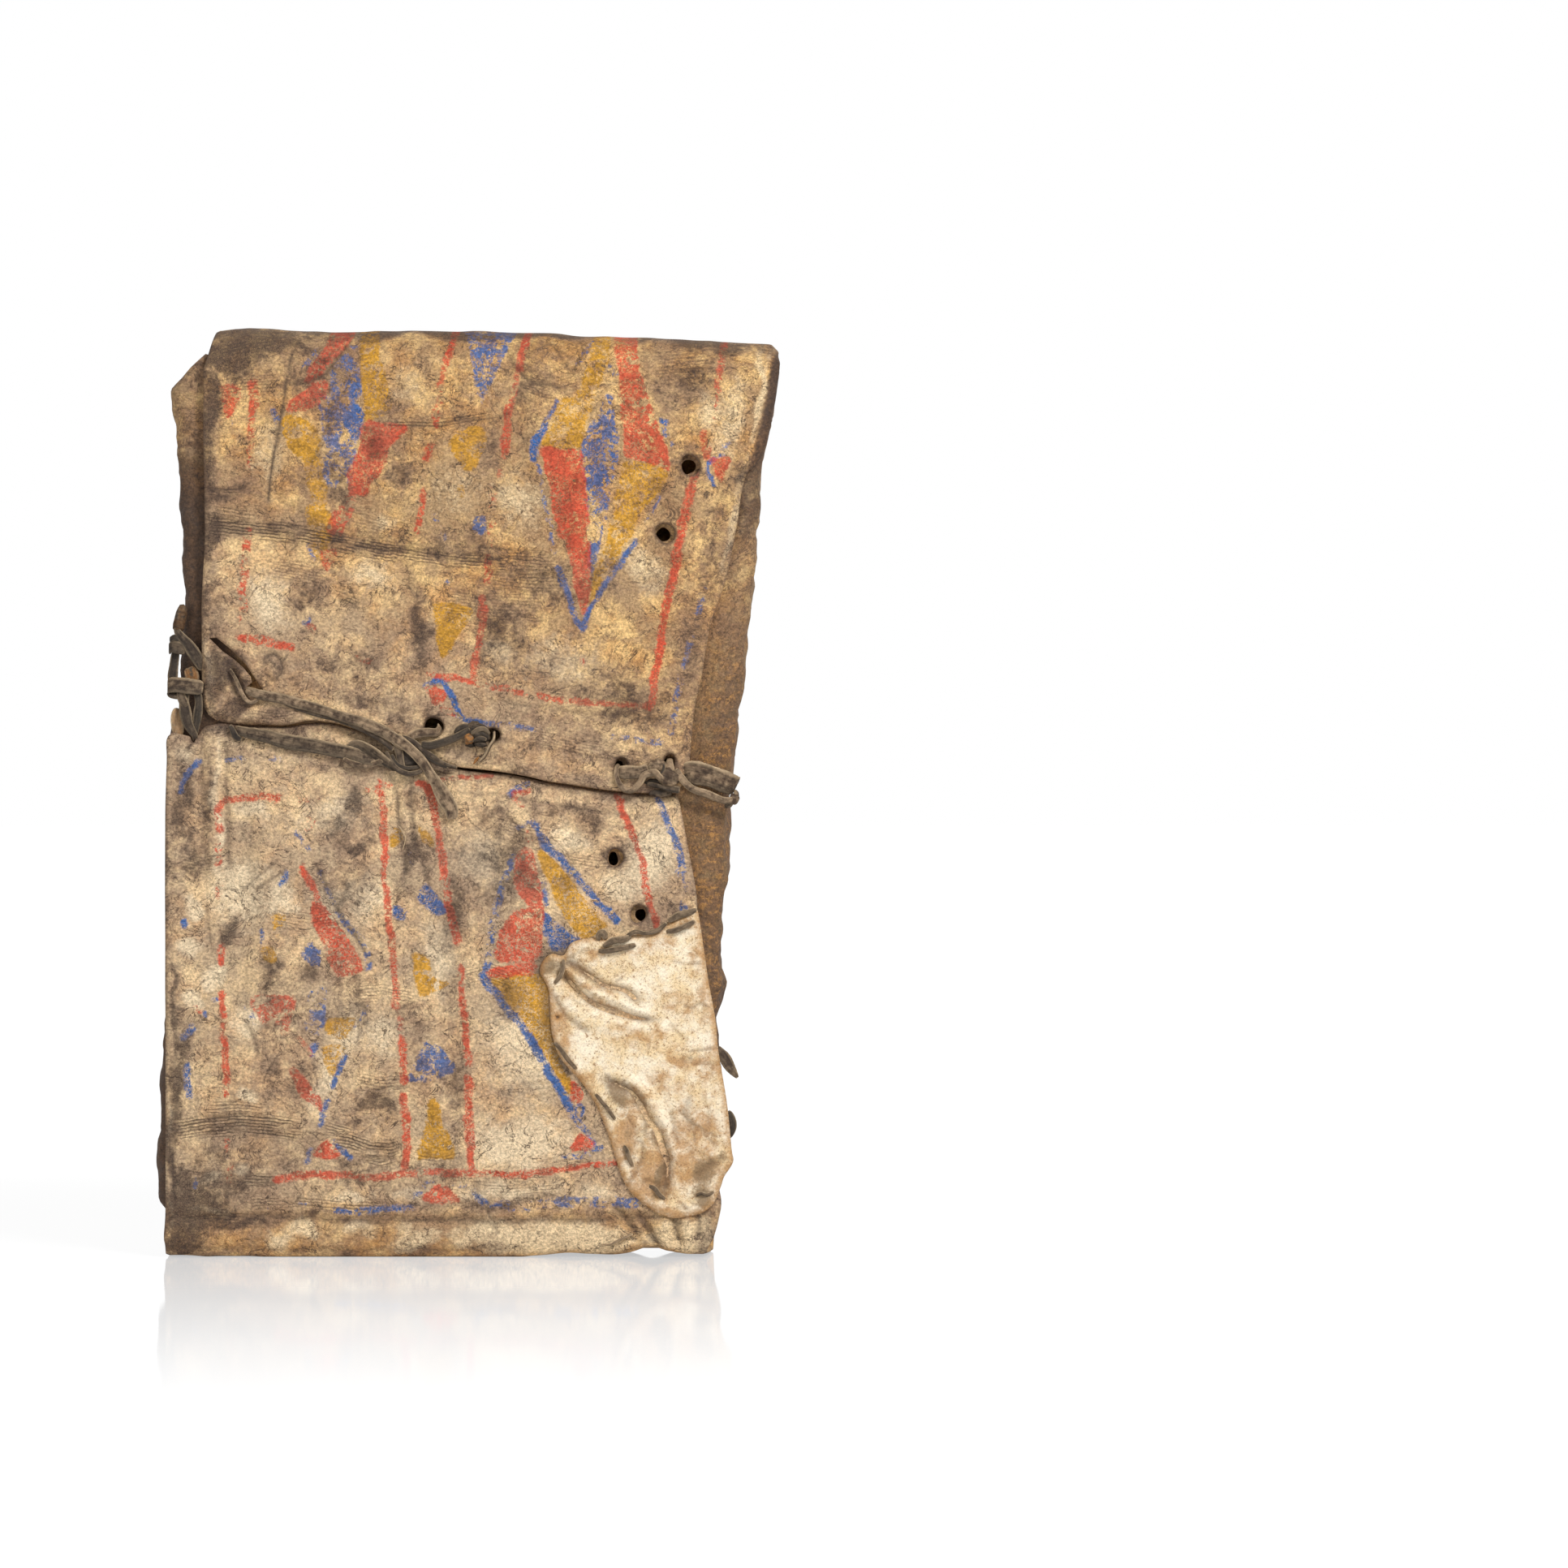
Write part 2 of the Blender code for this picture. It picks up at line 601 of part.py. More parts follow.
for old in list(bpy.data.objects):
    bpy.data.objects.remove(old)
PARTS = collection("parfleche_case")
CUTTERS = collection("cutters")
back_panel()
top_fold()
bottom_fold()
side_flap("left_side_flap", -1, left_side_edge, LEFT_FREE_EDGE * ACROSS)
side_flap("right_side_flap", 1, right_side_edge, RIGHT_FREE_EDGE * ACROSS)
upper_end_flap()
lower_end_flap()
front_ties()
toggle()
right_tie()
edge_ties()
patch()
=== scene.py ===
"""A painted rawhide envelope case, folded and tied, dressed over its CAD frame.

Lengths in the lists below are millimetres: x from the middle of the case, then height. A line is
written as its first point and then the step from each point to the next.
The three hides are cut flat, with their holes, and then folded round the case.
"""

import math

import bpy
import numpy as np
from bpy.props import FloatProperty, FloatVectorProperty, PointerProperty
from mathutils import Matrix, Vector, geometry


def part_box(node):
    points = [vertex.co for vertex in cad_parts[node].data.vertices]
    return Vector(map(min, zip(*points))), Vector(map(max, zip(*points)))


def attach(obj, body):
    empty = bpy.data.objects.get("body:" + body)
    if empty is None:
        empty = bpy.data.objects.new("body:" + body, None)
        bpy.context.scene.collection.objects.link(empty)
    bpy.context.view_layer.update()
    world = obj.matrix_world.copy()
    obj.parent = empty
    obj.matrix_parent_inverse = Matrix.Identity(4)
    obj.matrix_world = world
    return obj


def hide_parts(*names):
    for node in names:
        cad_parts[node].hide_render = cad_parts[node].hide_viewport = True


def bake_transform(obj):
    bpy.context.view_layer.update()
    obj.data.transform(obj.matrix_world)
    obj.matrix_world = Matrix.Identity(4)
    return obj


bl_info = {
    "name": "Painted rawhide case",
    "version": (1, 0, 0),
    "blender": (4, 5, 0),
    "location": "3D View > Sidebar > Rawhide case",
    "description": "Builds a folded and tied rawhide envelope case over its CAD frame",
    "category": "Object",
}

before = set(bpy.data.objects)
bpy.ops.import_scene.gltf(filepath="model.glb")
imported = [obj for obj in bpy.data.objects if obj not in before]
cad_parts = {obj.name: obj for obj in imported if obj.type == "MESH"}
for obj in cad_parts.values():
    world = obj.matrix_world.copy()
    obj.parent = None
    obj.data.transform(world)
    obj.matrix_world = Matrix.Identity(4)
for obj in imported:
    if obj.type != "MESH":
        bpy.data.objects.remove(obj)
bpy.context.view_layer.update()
MM = 0.001

# Places taken from the frame, in millimetres
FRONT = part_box("upper_end_flap")[0].y / MM
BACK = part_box("back_panel")[1].y / MM
SIDE_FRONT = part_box("left_side_flap")[0].y / MM
MIDDLE = (FRONT + BACK) / 2
HALF_DEPTH = (BACK - FRONT) / 2
UPPER_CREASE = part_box("upper_end_flap")[1].z / MM
LOWER_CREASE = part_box("lower_end_flap")[0].z / MM


def trail(*steps):
    """A line's points, from its first point and then the step from each point to the next."""
    return np.cumsum(np.reshape(steps, (-1, 2)), axis=0).tolist()


def drawn(lead, rows):
    """Rows of numbers: the first few say how a line is drawn, and the others are its trail."""
    return [row[:lead] + (trail(*row[lead:]),) for row in rows]

# Upper hide: its outline as it is seen from the front
TOP_LINE = trail(-179, 627, 10, 1, 72, 0, 66, 1, 55, 0, 44, -3, 44, -3, 50, -3, 44, -2, 6, -4)
UPPER_SEAM = trail(-172, 365, 6, -2, 14, -2, 17, 0, 13, 0, 14, 3, 14, -1, 14, -3, 13, -4, 14, -5, 14, -5,
    14, -7, 16, -6, 17, -2, 16, -2, 17, -3, 13, -3, 20, -3, 20, -3, 24, -2, 19, 0, 7, 2)
UPPER_LEFT = trail(-176, 368, -3, 7, -1, 16, 0, 22, 0, 33, 2, 49, -1, 61, 0, 46)
UPPER_RIGHT = trail(147, 322, 3, 9, 1, 10, 3, 31, 5, 22, 5, 30, 5, 16, 6, 19, 8, 37, 3, 22, 4, 14)
CURL_RIDGE = trail(147, 322, 3, 19, 3, 31, 5, 22, 5, 30, 4, 16, 7, 19, 7, 37, 3, 22, 5, 18, 4, 12, 3, 13, 4,
    18, 3, 19, 4, 23, 3, 9)
TEAR = trail(195, 535, 7, 6, 5, 3)
FOLD_LENGTH = 90.0  # of flat hide, laid over the top from back to front
CURL_RADIUS = 7.0
CREST_LIFT = 2.4
FLAT_TOP = 692  # where the flat hide ends, inside the back

# Lower hide
LOWER_SEAM = trail(-200, 356, 5, -1, 7, -2, 2, -4, 7, 10, 6, 2, 7, 1, 14, -1, 17, -1, 13, 0, 14, 2, 14, 0,
    14, -3, 13, -4, 14, -5, 14, -5, 14, -7, 16, -6, 17, -3, 16, -1, 17, -3, 13, -3, 20, -3, 20, -3, 24, -2,
    19, 0)
LOWER_LEFT = trail(-204, 351, 0, -15, -1, -34, 0, -54, 0, -83, 0, -83, 0, -49, -1, -19)
LOWER_RIGHT = trail(142, 313, 3, -11, 3, -16, 3, -16, 4, -22, 1, -17, 2, -16, 3, -50, 2, -44, 4, -39, 2,
    -27, 3, -17, -2, -13)
BASE_RADIUS = 8.0

# The body of the case: how far out its walls stand, and how high they reach
WALL_LEFT = trail(-202, 2, -3, 24, -6, 12, -1, 34, 2, 44, 3, 22, 2, 110, 1, 54, 1, 53, 8, 25, 2, 63, -2, 25,
    -3, 54, -2, 44, -1, 21, 0, 23)
WALL_RIGHT = trail(163, 2, 4, 24, 1, 2, 2, 33, -1, 60, -1, 40, 4, 12, 3, 13, -3, 18, 1, 13, 1, 31, 1, 27, 1,
    31, 1, 10, 2, 19, 3, 20, 2, 17, 4, 27, 1, 25, 2, 13, 4, 44, 2, 30, 2, 26, 5, 24, 3, 27, 1, 22)
WALL_TOPS = trail(-405, 600, 105, 6, 28, 7, 10, -9, 7, -7, 7, -7, 6, -4, 14, -2, 16, 1, 16, 3, 10, 12, 186,
    2, 196, 0, 10, -10, 34, -14, 12, 20, 48, 6, 105, -4)
WALL_FOOT = 6.0
WALL_CORNER = 12.0
HALF_BACK = 190.0
INNER_FLAP = 144.0  # of flat hide, from the wall to the inner flap's free edge
LEFT_FREE_EDGE, RIGHT_FREE_EDGE = 45.0, 50.0  # how far from the middle those edges stop

# Lacing holes, as (x, height, radius), and the cut corner
UPPER_HOLES = [(151, 537, 6.6), (134, 491, 6.4), (-23, 360, 6.0), (17, 354, 4.6), (104, 334, 4.4),
               (137, 337, 3.8)]
LOWER_HOLES = [(100, 271, 5.6), (116, 233, 5.6)]
DOG_EAR = trail(-175, 420, 5, 0, 5, -4, 8, -7, 7, -7, 5, -8, 4, -6, 3, -4, -6, 2, -6, 1, 4, 3, -1, 4, -5, 6,
    -7, 6, -7, 5, -5, 5)

# Painting, as (strength in percent, line width or 0 for a filled shape, and then the line)
UPPER_RED = drawn(2, [
    (85, 0, -90, 635, 15, 0, -3, -9, -6, -10, -8, -11, -11, -9, -9, -2, 7, 12, 7, 10),
    (80, 0, -124, 574, 6, 9, 10, 7, 10, 5, 3, -5, -2, -9, -9, -6, -10, -2),
    (94, 0, -70, 567, 16, -1, 14, -3, -4, -6, -6, -5, -6, -13, -7, -12, -5, -10, -8, -1, -6, 4, 3, 16, 5,
     15), (62, 0, -82, 517, 6, -2, -4, -14, -4, -9, -5, -4, -6, 4, 5, 14),
    (72, 0, -98, 479, 9, 1, -1, -7, -5, -8, -2, 4),
    (74, 0, -168, 590, 8, 2, 6, -2, 1, -7, -4, -4, -2, -7, -5, -5, -1, 8),
    (76, 0, 96, 635, 17, 0, 2, -25, 3, -10, 4, -17, 2, -5, 7, -20, 7, -23, -15, 4, -16, 3, -1, 14, -3, 22,
     0, 16, -2, 16),
    (90, 0, 50, 549, 13, -1, 14, -2, 2, -15, 2, -19, 1, -17, -10, -4, -9, -4, -4, 14, -3, 16, -4, 19),
    (94, 0, 67, 487, 8, 5, 7, -4, 2, -20, -1, -17, -4, -15, -5, 12, -4, 20),
    (86, 0, 165, 542, 13, 1, -2, -9, -5, -8, -4, 6), (78, 0, -29, 386, 6, 1, 7, -2, 2, -6, -7, -4),
    (66, 0, -20, 374, 8, -1, 4, -5, -7, 1), (70, 0, -109, 430, 6, -1, -2, -7, -3, 3),
    (88, 6, -8, 635, -1, -11, -2, -7, -3, -10), (50, 5, -15, 607, -3, -13, -1, -16),
    (76, 6, -21, 573, -1, -8), (76, 6, -25, 550, -3, -9), (70, 5, -30, 520, -2, -14, -2, -13),
    (86, 7, 41, 635, -3, -19, -3, -15), (60, 5, 35, 601, -5, -18, -2, -5),
    (84, 7, 28, 578, -2, -17, 0, -15), (34, 5, 25, 544, -7, -27, -3, -38), (72, 6, 14, 474, -1, -16),
    (70, 5, 10, 448, -2, -13), (84, 6, 12, 441, -4, -23, -4, -23), (76, 8, -145, 592, 0, -14),
    (62, 5, -146, 580, -1, -24, -1, -17), (78, 7, -148, 492, -2, -11), (64, 6, -150, 480, -2, -21, 0, -20),
    (50, 5, -154, 432, 1, -11), (84, 7, -153, 421, 8, -1, 10, -3, 15, -3),
    (72, 6, 175, 624, -3, -17, -3, -19), (44, 5, 169, 586, -2, -15), (58, 7, 160, 559, 1, -15),
    (90, 7, 155, 532, -6, -21, -5, -22, -5, -30, -5, -23, -7, -42, -3, -21),
    (74, 5, -27, 396, 16, -3, 17, -4), (56, 5, 6, 389, 21, -4, 13, -3), (70, 6, 49, 381, 14, -3),
    (62, 5, 68, 377, 19, -1, 17, -1, 20, -1), (40, 4, -74, 405, 8, -2), (60, 3, 78, 406, 1, -3),
])
UPPER_OCHRE = drawn(2, [
    (66, 0, 50, 552, 9, 27, 13, 6, 10, 23, 5, 27, 8, 0, 1, -26, -3, -8, -8, -22, -5, -18, -2, -12, -7, 0,
     -13, 0),
    (72, 0, 105, 539, 18, -1, 13, -4, -6, -14, -13, -16, -4, -12, -10, -15, -10, -18, -11, -22, 0, 5, 3, 20,
     6, 15, 6, 21, 3, 16, 3, 15),
    (70, 0, -73, 635, 12, 0, 1, -22, 8, -30, -2, -10, -14, -7, -2, 14, -3, 26),
    (74, 0, -124, 572, 5, -1, 13, -5, 7, -13, -8, -15, -9, 6, -6, 6, -3, 12),
    (66, 0, -112, 541, 13, 2, 4, -21, -2, -19, -6, 1, -5, 18),
    (64, 0, -110, 507, 12, 3, 7, -14, -7, -23, -7, 10),
    (72, 0, -12, 553, 11, 9, 12, 0, 1, -12, -10, -18, -8, 6), (66, 0, -7, 523, 5, -1, -2, -9),
    (80, 0, -21, 444, 23, -4, -3, -10, -8, -14, -9, -11, -3, 14, -2, 15),
])
UPPER_BLUE = drawn(2, [
    (64, 0, -1, 635, 34, 0, -7, -21, -7, -14, -7, -15, -2, -6, -4, 12, -3, 16),
    (84, 0, -87, 578, 12, 1, 4, -8, -1, -12, -5, -7, -4, 5, -4, 9),
    (62, 0, -92, 604, 17, 2, 2, -22, -16, -6), (74, 0, -86, 609, 8, 1, -1, -10, -6, 0),
    (70, 0, -81, 619, 7, -1, -3, -3), (62, 6, -103, 614, -7, -10), (84, 0, -99, 535, 6, 0, 1, -11, -4, 0),
    (66, 0, -134, 576, 6, -6, -3, -5), (58, 0, -101, 583, 14, -4, 0, -27, -9, -2, -3, 11),
    (60, 0, -95, 552, 11, -2, -1, -22, -7, -6, -5, 13), (54, 0, -84, 553, 8, -2, -1, -17, -4, -12, -5, 12),
    (60, 0, 95, 586, 5, -4, -1, -8, 4, -26, -3, -17, -5, -20, -4, -22, -4, -19, -3, -7, -2, 18, -1, 23, -2,
     22, -2, 17, 5, 18, 8, 15), (86, 5, 84, 522, 1, -27, -1, -27),
    (60, 0, 75, 543, 15, 6, 10, -15, -9, -12, -11, 3), (36, 5, 94, 604, 7, -5), (84, 4, 61, 580, -7, -15),
    (96, 7, 53, 563, -6, -9, -2, -11), (50, 3, 47, 542, 6, -31, 6, -34),
    (78, 5, 62, 467, 5, -15, 5, -16, 6, -10), (80, 5, 114, 485, -14, -19, -9, -14, -9, -14, -3, -10),
    (36, 3, 130, 514, -9, -15), (40, 4, 85, 620, -7, -11, -4, -4), (88, 0, 130, 568, 6, -1, 0, -4, -4, 1),
    (42, 5, 133, 561, 5, -10), (84, 4, 173, 544, -10, -8, 4, -12), (46, 4, 171, 549, 6, 3),
    (46, 5, 161, 454, -5, -18), (54, 5, 152, 420, -6, -22, -5, -23, -2, -19),
    (46, 5, 100, 353, 15, -2, 16, -1), (34, 4, 56, 353, 9, -1),
    (78, 5, -29, 388, 11, 3, 9, -13, 6, -13, 21, -3), (54, 4, 18, 362, 17, -2, 16, -3),
    (74, 0, 4, 500, 8, 1, 0, -9, -6, -2), (60, 0, -19, 491, 5, 0, 0, -6, -4, 0),
    (40, 0, -25, 503, 7, -1, -1, -8), (52, 3, -14, 459, 1, -6), (52, 4, -108, 484, 3, -11),
    (84, 0, -112, 433, 4, 2, 1, -5, -4, -2), (50, 0, -164, 568, 4, 1, 0, -5),
])
LOWER_RED = drawn(2, [
    (76, 6, -168, 289, 1, 19, 12, 3, 12, 1, 15, -1), (52, 5, -168, 279, 0, -11), (40, 5, -168, 254, 0, -9),
    (80, 6, -166, 211, 0, -10), (78, 6, -166, 179, 1, -15), (50, 5, -166, 158, 0, -10),
    (82, 6, -164, 147, 0, -18, 0, -18), (68, 4, -164, 80, 0, -6), (60, 4, -161, 61, 0, -9),
    (46, 4, -113, 311, 12, 0), (56, 5, -68, 318, 17, 2),
    (76, 6, -60, 322, 2, -16, 1, -20, 1, -28, 2, -25, 4, -34, 2, -30), (50, 4, -46, 162, 1, -14),
    (84, 7, -45, 146, 2, -26), (82, 7, -43, 109, 1, -21, 0, -25),
    (80, 7, -33, 321, 8, -6, 4, -23, 5, -24, 1, -12, 3, -18, 5, -24),
    (80, 6, -5, 196, 2, -27, 2, -21, 2, -17), (84, 7, 1, 122, 0, -28, 1, -32),
    (62, 4, -18, 324, 17, 2, 18, 1), (84, 6, -131, 52, 17, 3, 17, 1, 22, 0),
    (74, 6, -75, 56, 12, -2, 17, 3, 17, 1, 26, 0), (78, 5, -3, 58, 10, -1, 27, -1, 26, 3, 27, 4, 19, 0),
    (90, 6, 99, 319, 10, -25, 8, -22, 4, -22, 7, -26),
    (78, 0, -105, 243, 9, -5, 9, -12, 7, -12, 8, -14, 0, -6, -12, -4, -7, 3, -8, 21, -6, 14),
    (80, 6, -112, 263, 4, -7, 7, -13), (60, 4, -109, 297, 4, -1, -4, -6),
    (70, 0, -146, 176, 28, 0, -2, -17, -4, -11, -5, 9, -11, 4), (66, 4, -115, 148, 9, -10),
    (76, 0, -121, 128, 10, -4, 12, -17, 0, -7, -12, 7, -6, 11),
    (88, 0, -97, 80, -8, -11, 6, -2, 12, 2, -5, 9), (84, 0, -31, 40, 6, 7, 7, 3, 8, -4, 6, -9, -16, 0),
    (56, 0, -189, 169, 9, 0, -1, -6), (76, 0, 34, 275, 11, 2, 3, -16, 3, -18, -8, -4, -7, 4, -5, 13),
    (80, 0, 36, 236, 15, 5, 0, -20, -4, -20, -9, -1, -17, 1, -2, 12, 6, 14),
    (90, 0, 12, 191, 4, 5, 14, 2, 16, 1, 0, -7, -16, -2), (56, 4, 40, 289, 2, -6),
    (74, 4, 42, 317, -10, -3, 4, -7), (90, 0, 70, 121, 9, -9, -4, -7, -5, 1),
    (92, 0, 77, 84, 9, -8, -2, -4, -14, 0, 2, 6),
])
LOWER_OCHRE = drawn(2, [
    (58, 0, -132, 233, 9, -2, 0, -10, -6, -4, -2, 7), (88, 0, -137, 211, 8, -3, 0, -8, -6, 0, -5, 5),
    (82, 0, -96, 162, 19, 0, -3, -10, -5, -4, -11, 4), (72, 0, -99, 142, 14, 2, 0, -8, -7, -12, -5, 6),
    (54, 0, -101, 113, 5, -2, -3, -5), (78, 0, -50, 292, 5, -3, -1, -9, -6, -2),
    (70, 0, -34, 292, 9, -6, 1, -8, -7, 4), (74, 0, -37, 205, 10, -3, 3, -12, 12, -5, -10, -4, -10, -5),
    (92, 0, -25, 109, 5, -5, 5, -17, 7, -19, -21, 0, -5, 0, 4, 19),
    (98, 0, 47, 275, 6, 1, 12, -13, 10, -14, 10, -12, 9, -12, -3, -4, -11, -5, -6, 3, -7, 10, -10, 19, -6,
     13), (120, 0, 16, 190, 35, 1, 6, -31, 6, -28, 8, -11, 1, -9, -5, 0, -10, 16, -14, 20, -18, 28),
])
LOWER_BLUE = drawn(2, [
    (78, 5, -182, 337, -7, -8, -4, -7, 0, -6), (76, 4, -163, 337, 10, 1, 0, -2), (36, 4, -133, 339, 13, -1),
    (62, 4, -116, 288, 8, -11), (82, 5, -122, 260, -4, -6), (52, 5, -99, 260, 12, -27, 15, -19, 5, -17),
    (70, 0, -106, 213, 7, -9, -2, -9, -7, 5, -5, 5),
    (54, 0, -105, 182, 9, 0, 0, -16, -3, -12, -7, -2, -5, 9, 3, 12), (66, 0, -108, 145, 7, 0, -4, -9),
    (64, 4, -140, 221, 0, -7), (46, 3, -68, 169, -9, -13), (82, 5, -84, 136, -7, -20),
    (80, 5, -95, 106, -4, -16), (54, 4, -149, 169, 5, -10), (74, 4, -106, 74, -3, -10),
    (80, 5, -91, 78, 11, -10), (84, 5, -191, 229, 0, -4), (84, 5, -187, 156, -6, -7),
    (80, 6, -191, 129, 1, -8, 2, -11), (58, 4, -184, 56, -1, -8), (66, 4, -173, 175, 3, 0),
    (66, 4, -178, 165, 1, 0), (58, 4, -40, 272, 3, -3),
    (90, 0, -30, 254, 5, -2, 5, -7, 7, -11, -12, -1, -4, 5, -5, 5), (86, 0, -51, 238, 5, 0, 5, -7, -9, -1),
    (70, 0, -29, 147, 7, -2, 9, -9, 5, -8, -12, -7, -19, -2, -2, 2, 5, 10), (48, 4, -36, 42, 11, 9),
    (42, 4, -13, 50, 17, -4), (68, 5, -90, 32, 18, -1, 18, 3, 16, 0), (34, 4, -135, 34, 27, 1),
    (80, 5, 6, 42, 7, -6, 11, 0), (50, 8, 24, 36, 10, -1, 26, 2, 27, 1, 27, -1), (60, 6, 30, 315, 10, 7),
    (40, 6, 35, 292, 8, 3), (60, 6, 31, 273, -6, -17, -5, -17, -4, -22, -4, -23),
    (86, 6, 46, 293, 8, -14, 14, -14, 14, -17, 19, -21),
    (86, 7, 10, 192, 15, -21, 18, -24, 17, -29, 9, -16, 5, -9), (70, 5, 74, 92, 13, -16),
    (86, 0, 75, 104, 5, -3, -1, -6, -7, 0), (60, 4, 65, 68, 11, 1, 15, 6),
    (84, 0, 53, 236, 7, -8, 10, -9, 7, -3, -10, -7, -9, -2, -4, 9, -3, 8), (60, 5, 50, 253, 4, -14),
    (72, 6, 128, 313, 5, -13, 6, -13, 4, -11, 2, -15), (46, 5, 148, 257, 2, -9),
    (84, 0, 147, 243, 4, -8, -9, -2, 2, 6),
])

# Grime, with painted shade among it in the dog-ear's hollow and along the lower flap's left edge;
# bare pale hide, with painted highlights among it on the curl's ridge and on other ridges; and warm
# tan, as (strength in percent, x, height, half width, half height, and the lean in degrees where
# there is one)
UPPER_GRIME_AND_SHADE = [
    (60, -63, 549, 16, 36, -20), (96, -158, 614, 36, 24), (96, -152, 626, 70, 9), (84, -69, 626, 50, 5),
    (92, 13, 627, 250, 6, -1), (90, 156, 619, 70, 7, -4), (62, 148, 598, 30, 26), (100, -167, 610, 14, 18),
    (96, -135, 617, 40, 9, -4), (46, 68, 400, 50, 16), (60, -97, 594, 30, 40), (66, -86, 522, 14, 30, 20),
    (54, 41, 594, 30, 30, 30), (70, -178, 522, 6, 160), (60, 68, 457, 70, 20), (60, -86, 402, 40, 16),
    (66, 24, 424, 30, 40), (70, 101, 380, 40, 24, -10), (56, -108, 446, 14, 30), (60, 13, 544, 14, 24),
    (90, -175, 566, 8, 60), (80, -175, 490, 8, 40), (62, -173, 435, 10, 30), (55, -152, 522, 24, 7, 8),
    (60, -113, 528, 11, 15), (60, -92, 562, 8, 17), (66, -49, 562, 10, 5), (60, -47, 528, 8, 20, 30),
    (66, -13, 480, 20, 14, -8), (66, -75, 485, 60, 7, -14), (56, -130, 492, 46, 6, -6),
    (80, -33, 426, 8, 34), (60, -39, 406, 9, 10), (52, -102, 411, 8, 9), (46, -122, 468, 26, 12, 12),
    (60, 134, 591, 16, 26), (92, -160, 398, 9, 14, -58), (84, -169, 393, 12, 26), (64, -157, 369, 24, 6),
    (56, 167, 605, 20, 16), (62, 164, 505, 7, 16, -20), (60, 134, 369, 40, 30), (60, -97, 544, 10, 30),
    (58, 43, 594, 24, 18, 30), (56, 8, 483, 20, 16), (40, -42, 575, 40, 5, 12), (50, 167, 468, 16, 40),
    (54, 151, 385, 12, 60), (44, 68, 355, 70, 20, -8), (62, -53, 369, 60, 12, -14),
    (50, 101, 341, 50, 12, -6), (54, -152, 380, 20, 22), (84, -160, 399, 11, 15, -50),
    (84, -152, 387, 10, 9, -30), (60, -163, 385, 8, 10), (66, -135, 367, 40, 5),
    (80, -153, 375, 14, 5, -20), (70, -134, 400, 6, 7), (42, 13, 424, 14, 24), (46, -86, 391, 60, 14),
    (62, -9, 341, 26, 8, -18), (66, -168, 516, 14, 6), (46, 78, 424, 10, 30, 20),
]
UPPER_PALE_AND_HIGHLIGHT = [
    (34, 13, 594, 20, 20), (70, 163, 575, 12, 18), (46, -135, 544, 14, 30), (54, -58, 495, 14, 7),
    (40, -9, 522, 34, 22), (60, 35, 512, 22, 22), (70, -135, 446, 16, 24, 20), (64, -64, 462, 20, 12),
    (56, 63, 404, 34, 20, -10), (66, 19, 410, 12, 12), (70, 118, 468, 14, 26, 30),
    (64, 178, 566, 10, 40, -10), (40, -42, 594, 20, 20), (74, 199, 588, 4, 40, -8),
    (70, 181, 501, 4, 40, -14), (56, -173, 396, 5, 40),
]
UPPER_TAN = [
    (84, 68, 619, 44, 9), (70, 151, 605, 24, 14), (60, 63, 616, 60, 18), (50, -9, 610, 50, 20),
    (60, 167, 610, 20, 10), (70, 35, 344, 34, 6, -8), (60, -67, 424, 40, 20), (50, -119, 391, 30, 12),
    (60, 68, 333, 24, 5, -8), (50, -141, 501, 24, 12),
]
LOWER_GRIME_AND_SHADE = [
    (70, 24, 264, 40, 40, 30), (60, -86, 253, 30, 20), (66, -9, 231, 14, 60), (60, 68, 302, 60, 8, -10),
    (70, -193, 302, 10, 70), (66, -130, 193, 14, 30), (60, -75, 170, 14, 40), (30, -152, 82, 60, 12),
    (66, 13, 38, 90, 5), (60, -58, 61, 60, 8), (44, -119, 61, 40, 14), (60, -9, 116, 14, 30),
    (88, -79, 308, 11, 16, -20), (80, -72, 278, 8, 14, -40), (84, -40, 267, 9, 28), (60, -36, 311, 12, 14),
    (70, -175, 322, 8, 42), (66, -187, 270, 12, 26), (46, -157, 341, 16, 10), (80, -158, 224, 8, 14, -20),
    (72, -105, 190, 10, 18), (56, -133, 132, 16, 28, -20), (76, -61, 106, 20, 12), (36, -157, 89, 60, 8),
    (96, -191, 22, 18, 24), (84, -154, 23, 30, 6), (62, -75, 89, 16, 6, 10), (60, 34, 243, 8, 4),
    (62, 103, 48, 7, 8), (50, -9, 193, 8, 40), (52, -42, 165, 12, 16, 20), (60, -201, 82, 5, 90),
    (50, -97, 336, 40, 8, -12), (70, -58, 338, 26, 6, -10), (52, -124, 165, 24, 30, 20),
    (60, -179, 61, 26, 18), (50, -86, 170, 20, 30), (56, -20, 61, 30, 10), (36, 68, 28, 40, 3),
    (62, 35, 258, 20, 16), (58, 24, 176, 16, 20, 40), (44, 35, 116, 26, 20), (66, 90, 292, 16, 10, 40),
    (60, -86, 292, 30, 26), (80, -193, 38, 12, 50), (70, -168, 50, 40, 30), (50, 13, 297, 20, 12, 30),
    (64, 140, 239, 12, 6, 20), (50, -31, 138, 10, 50), (34, -152, 121, 30, 10), (60, -190, 3, 40, 4),
    (34, -42, 2, 160, 3), (84, -200, 72, 5, 80), (100, -187, 33, 20, 34), (84, -195, 121, 7, 60),
    (46, -135, 65, 60, 22), (84, -177, 38, 28, 26), (54, -53, 55, 60, 14), (50, -113, 121, 34, 24),
    (54, -9, 275, 50, 24), (70, -173, 66, 16, 20), (80, -200, 165, 4, 80), (60, -202, 275, 4, 80),
    (64, -86, 28, 60, 4, 2), (50, -86, 3, 10, 8, 30), (46, 19, 11, 8, 10, 30), (90, -195, 11, 22, 14),
]
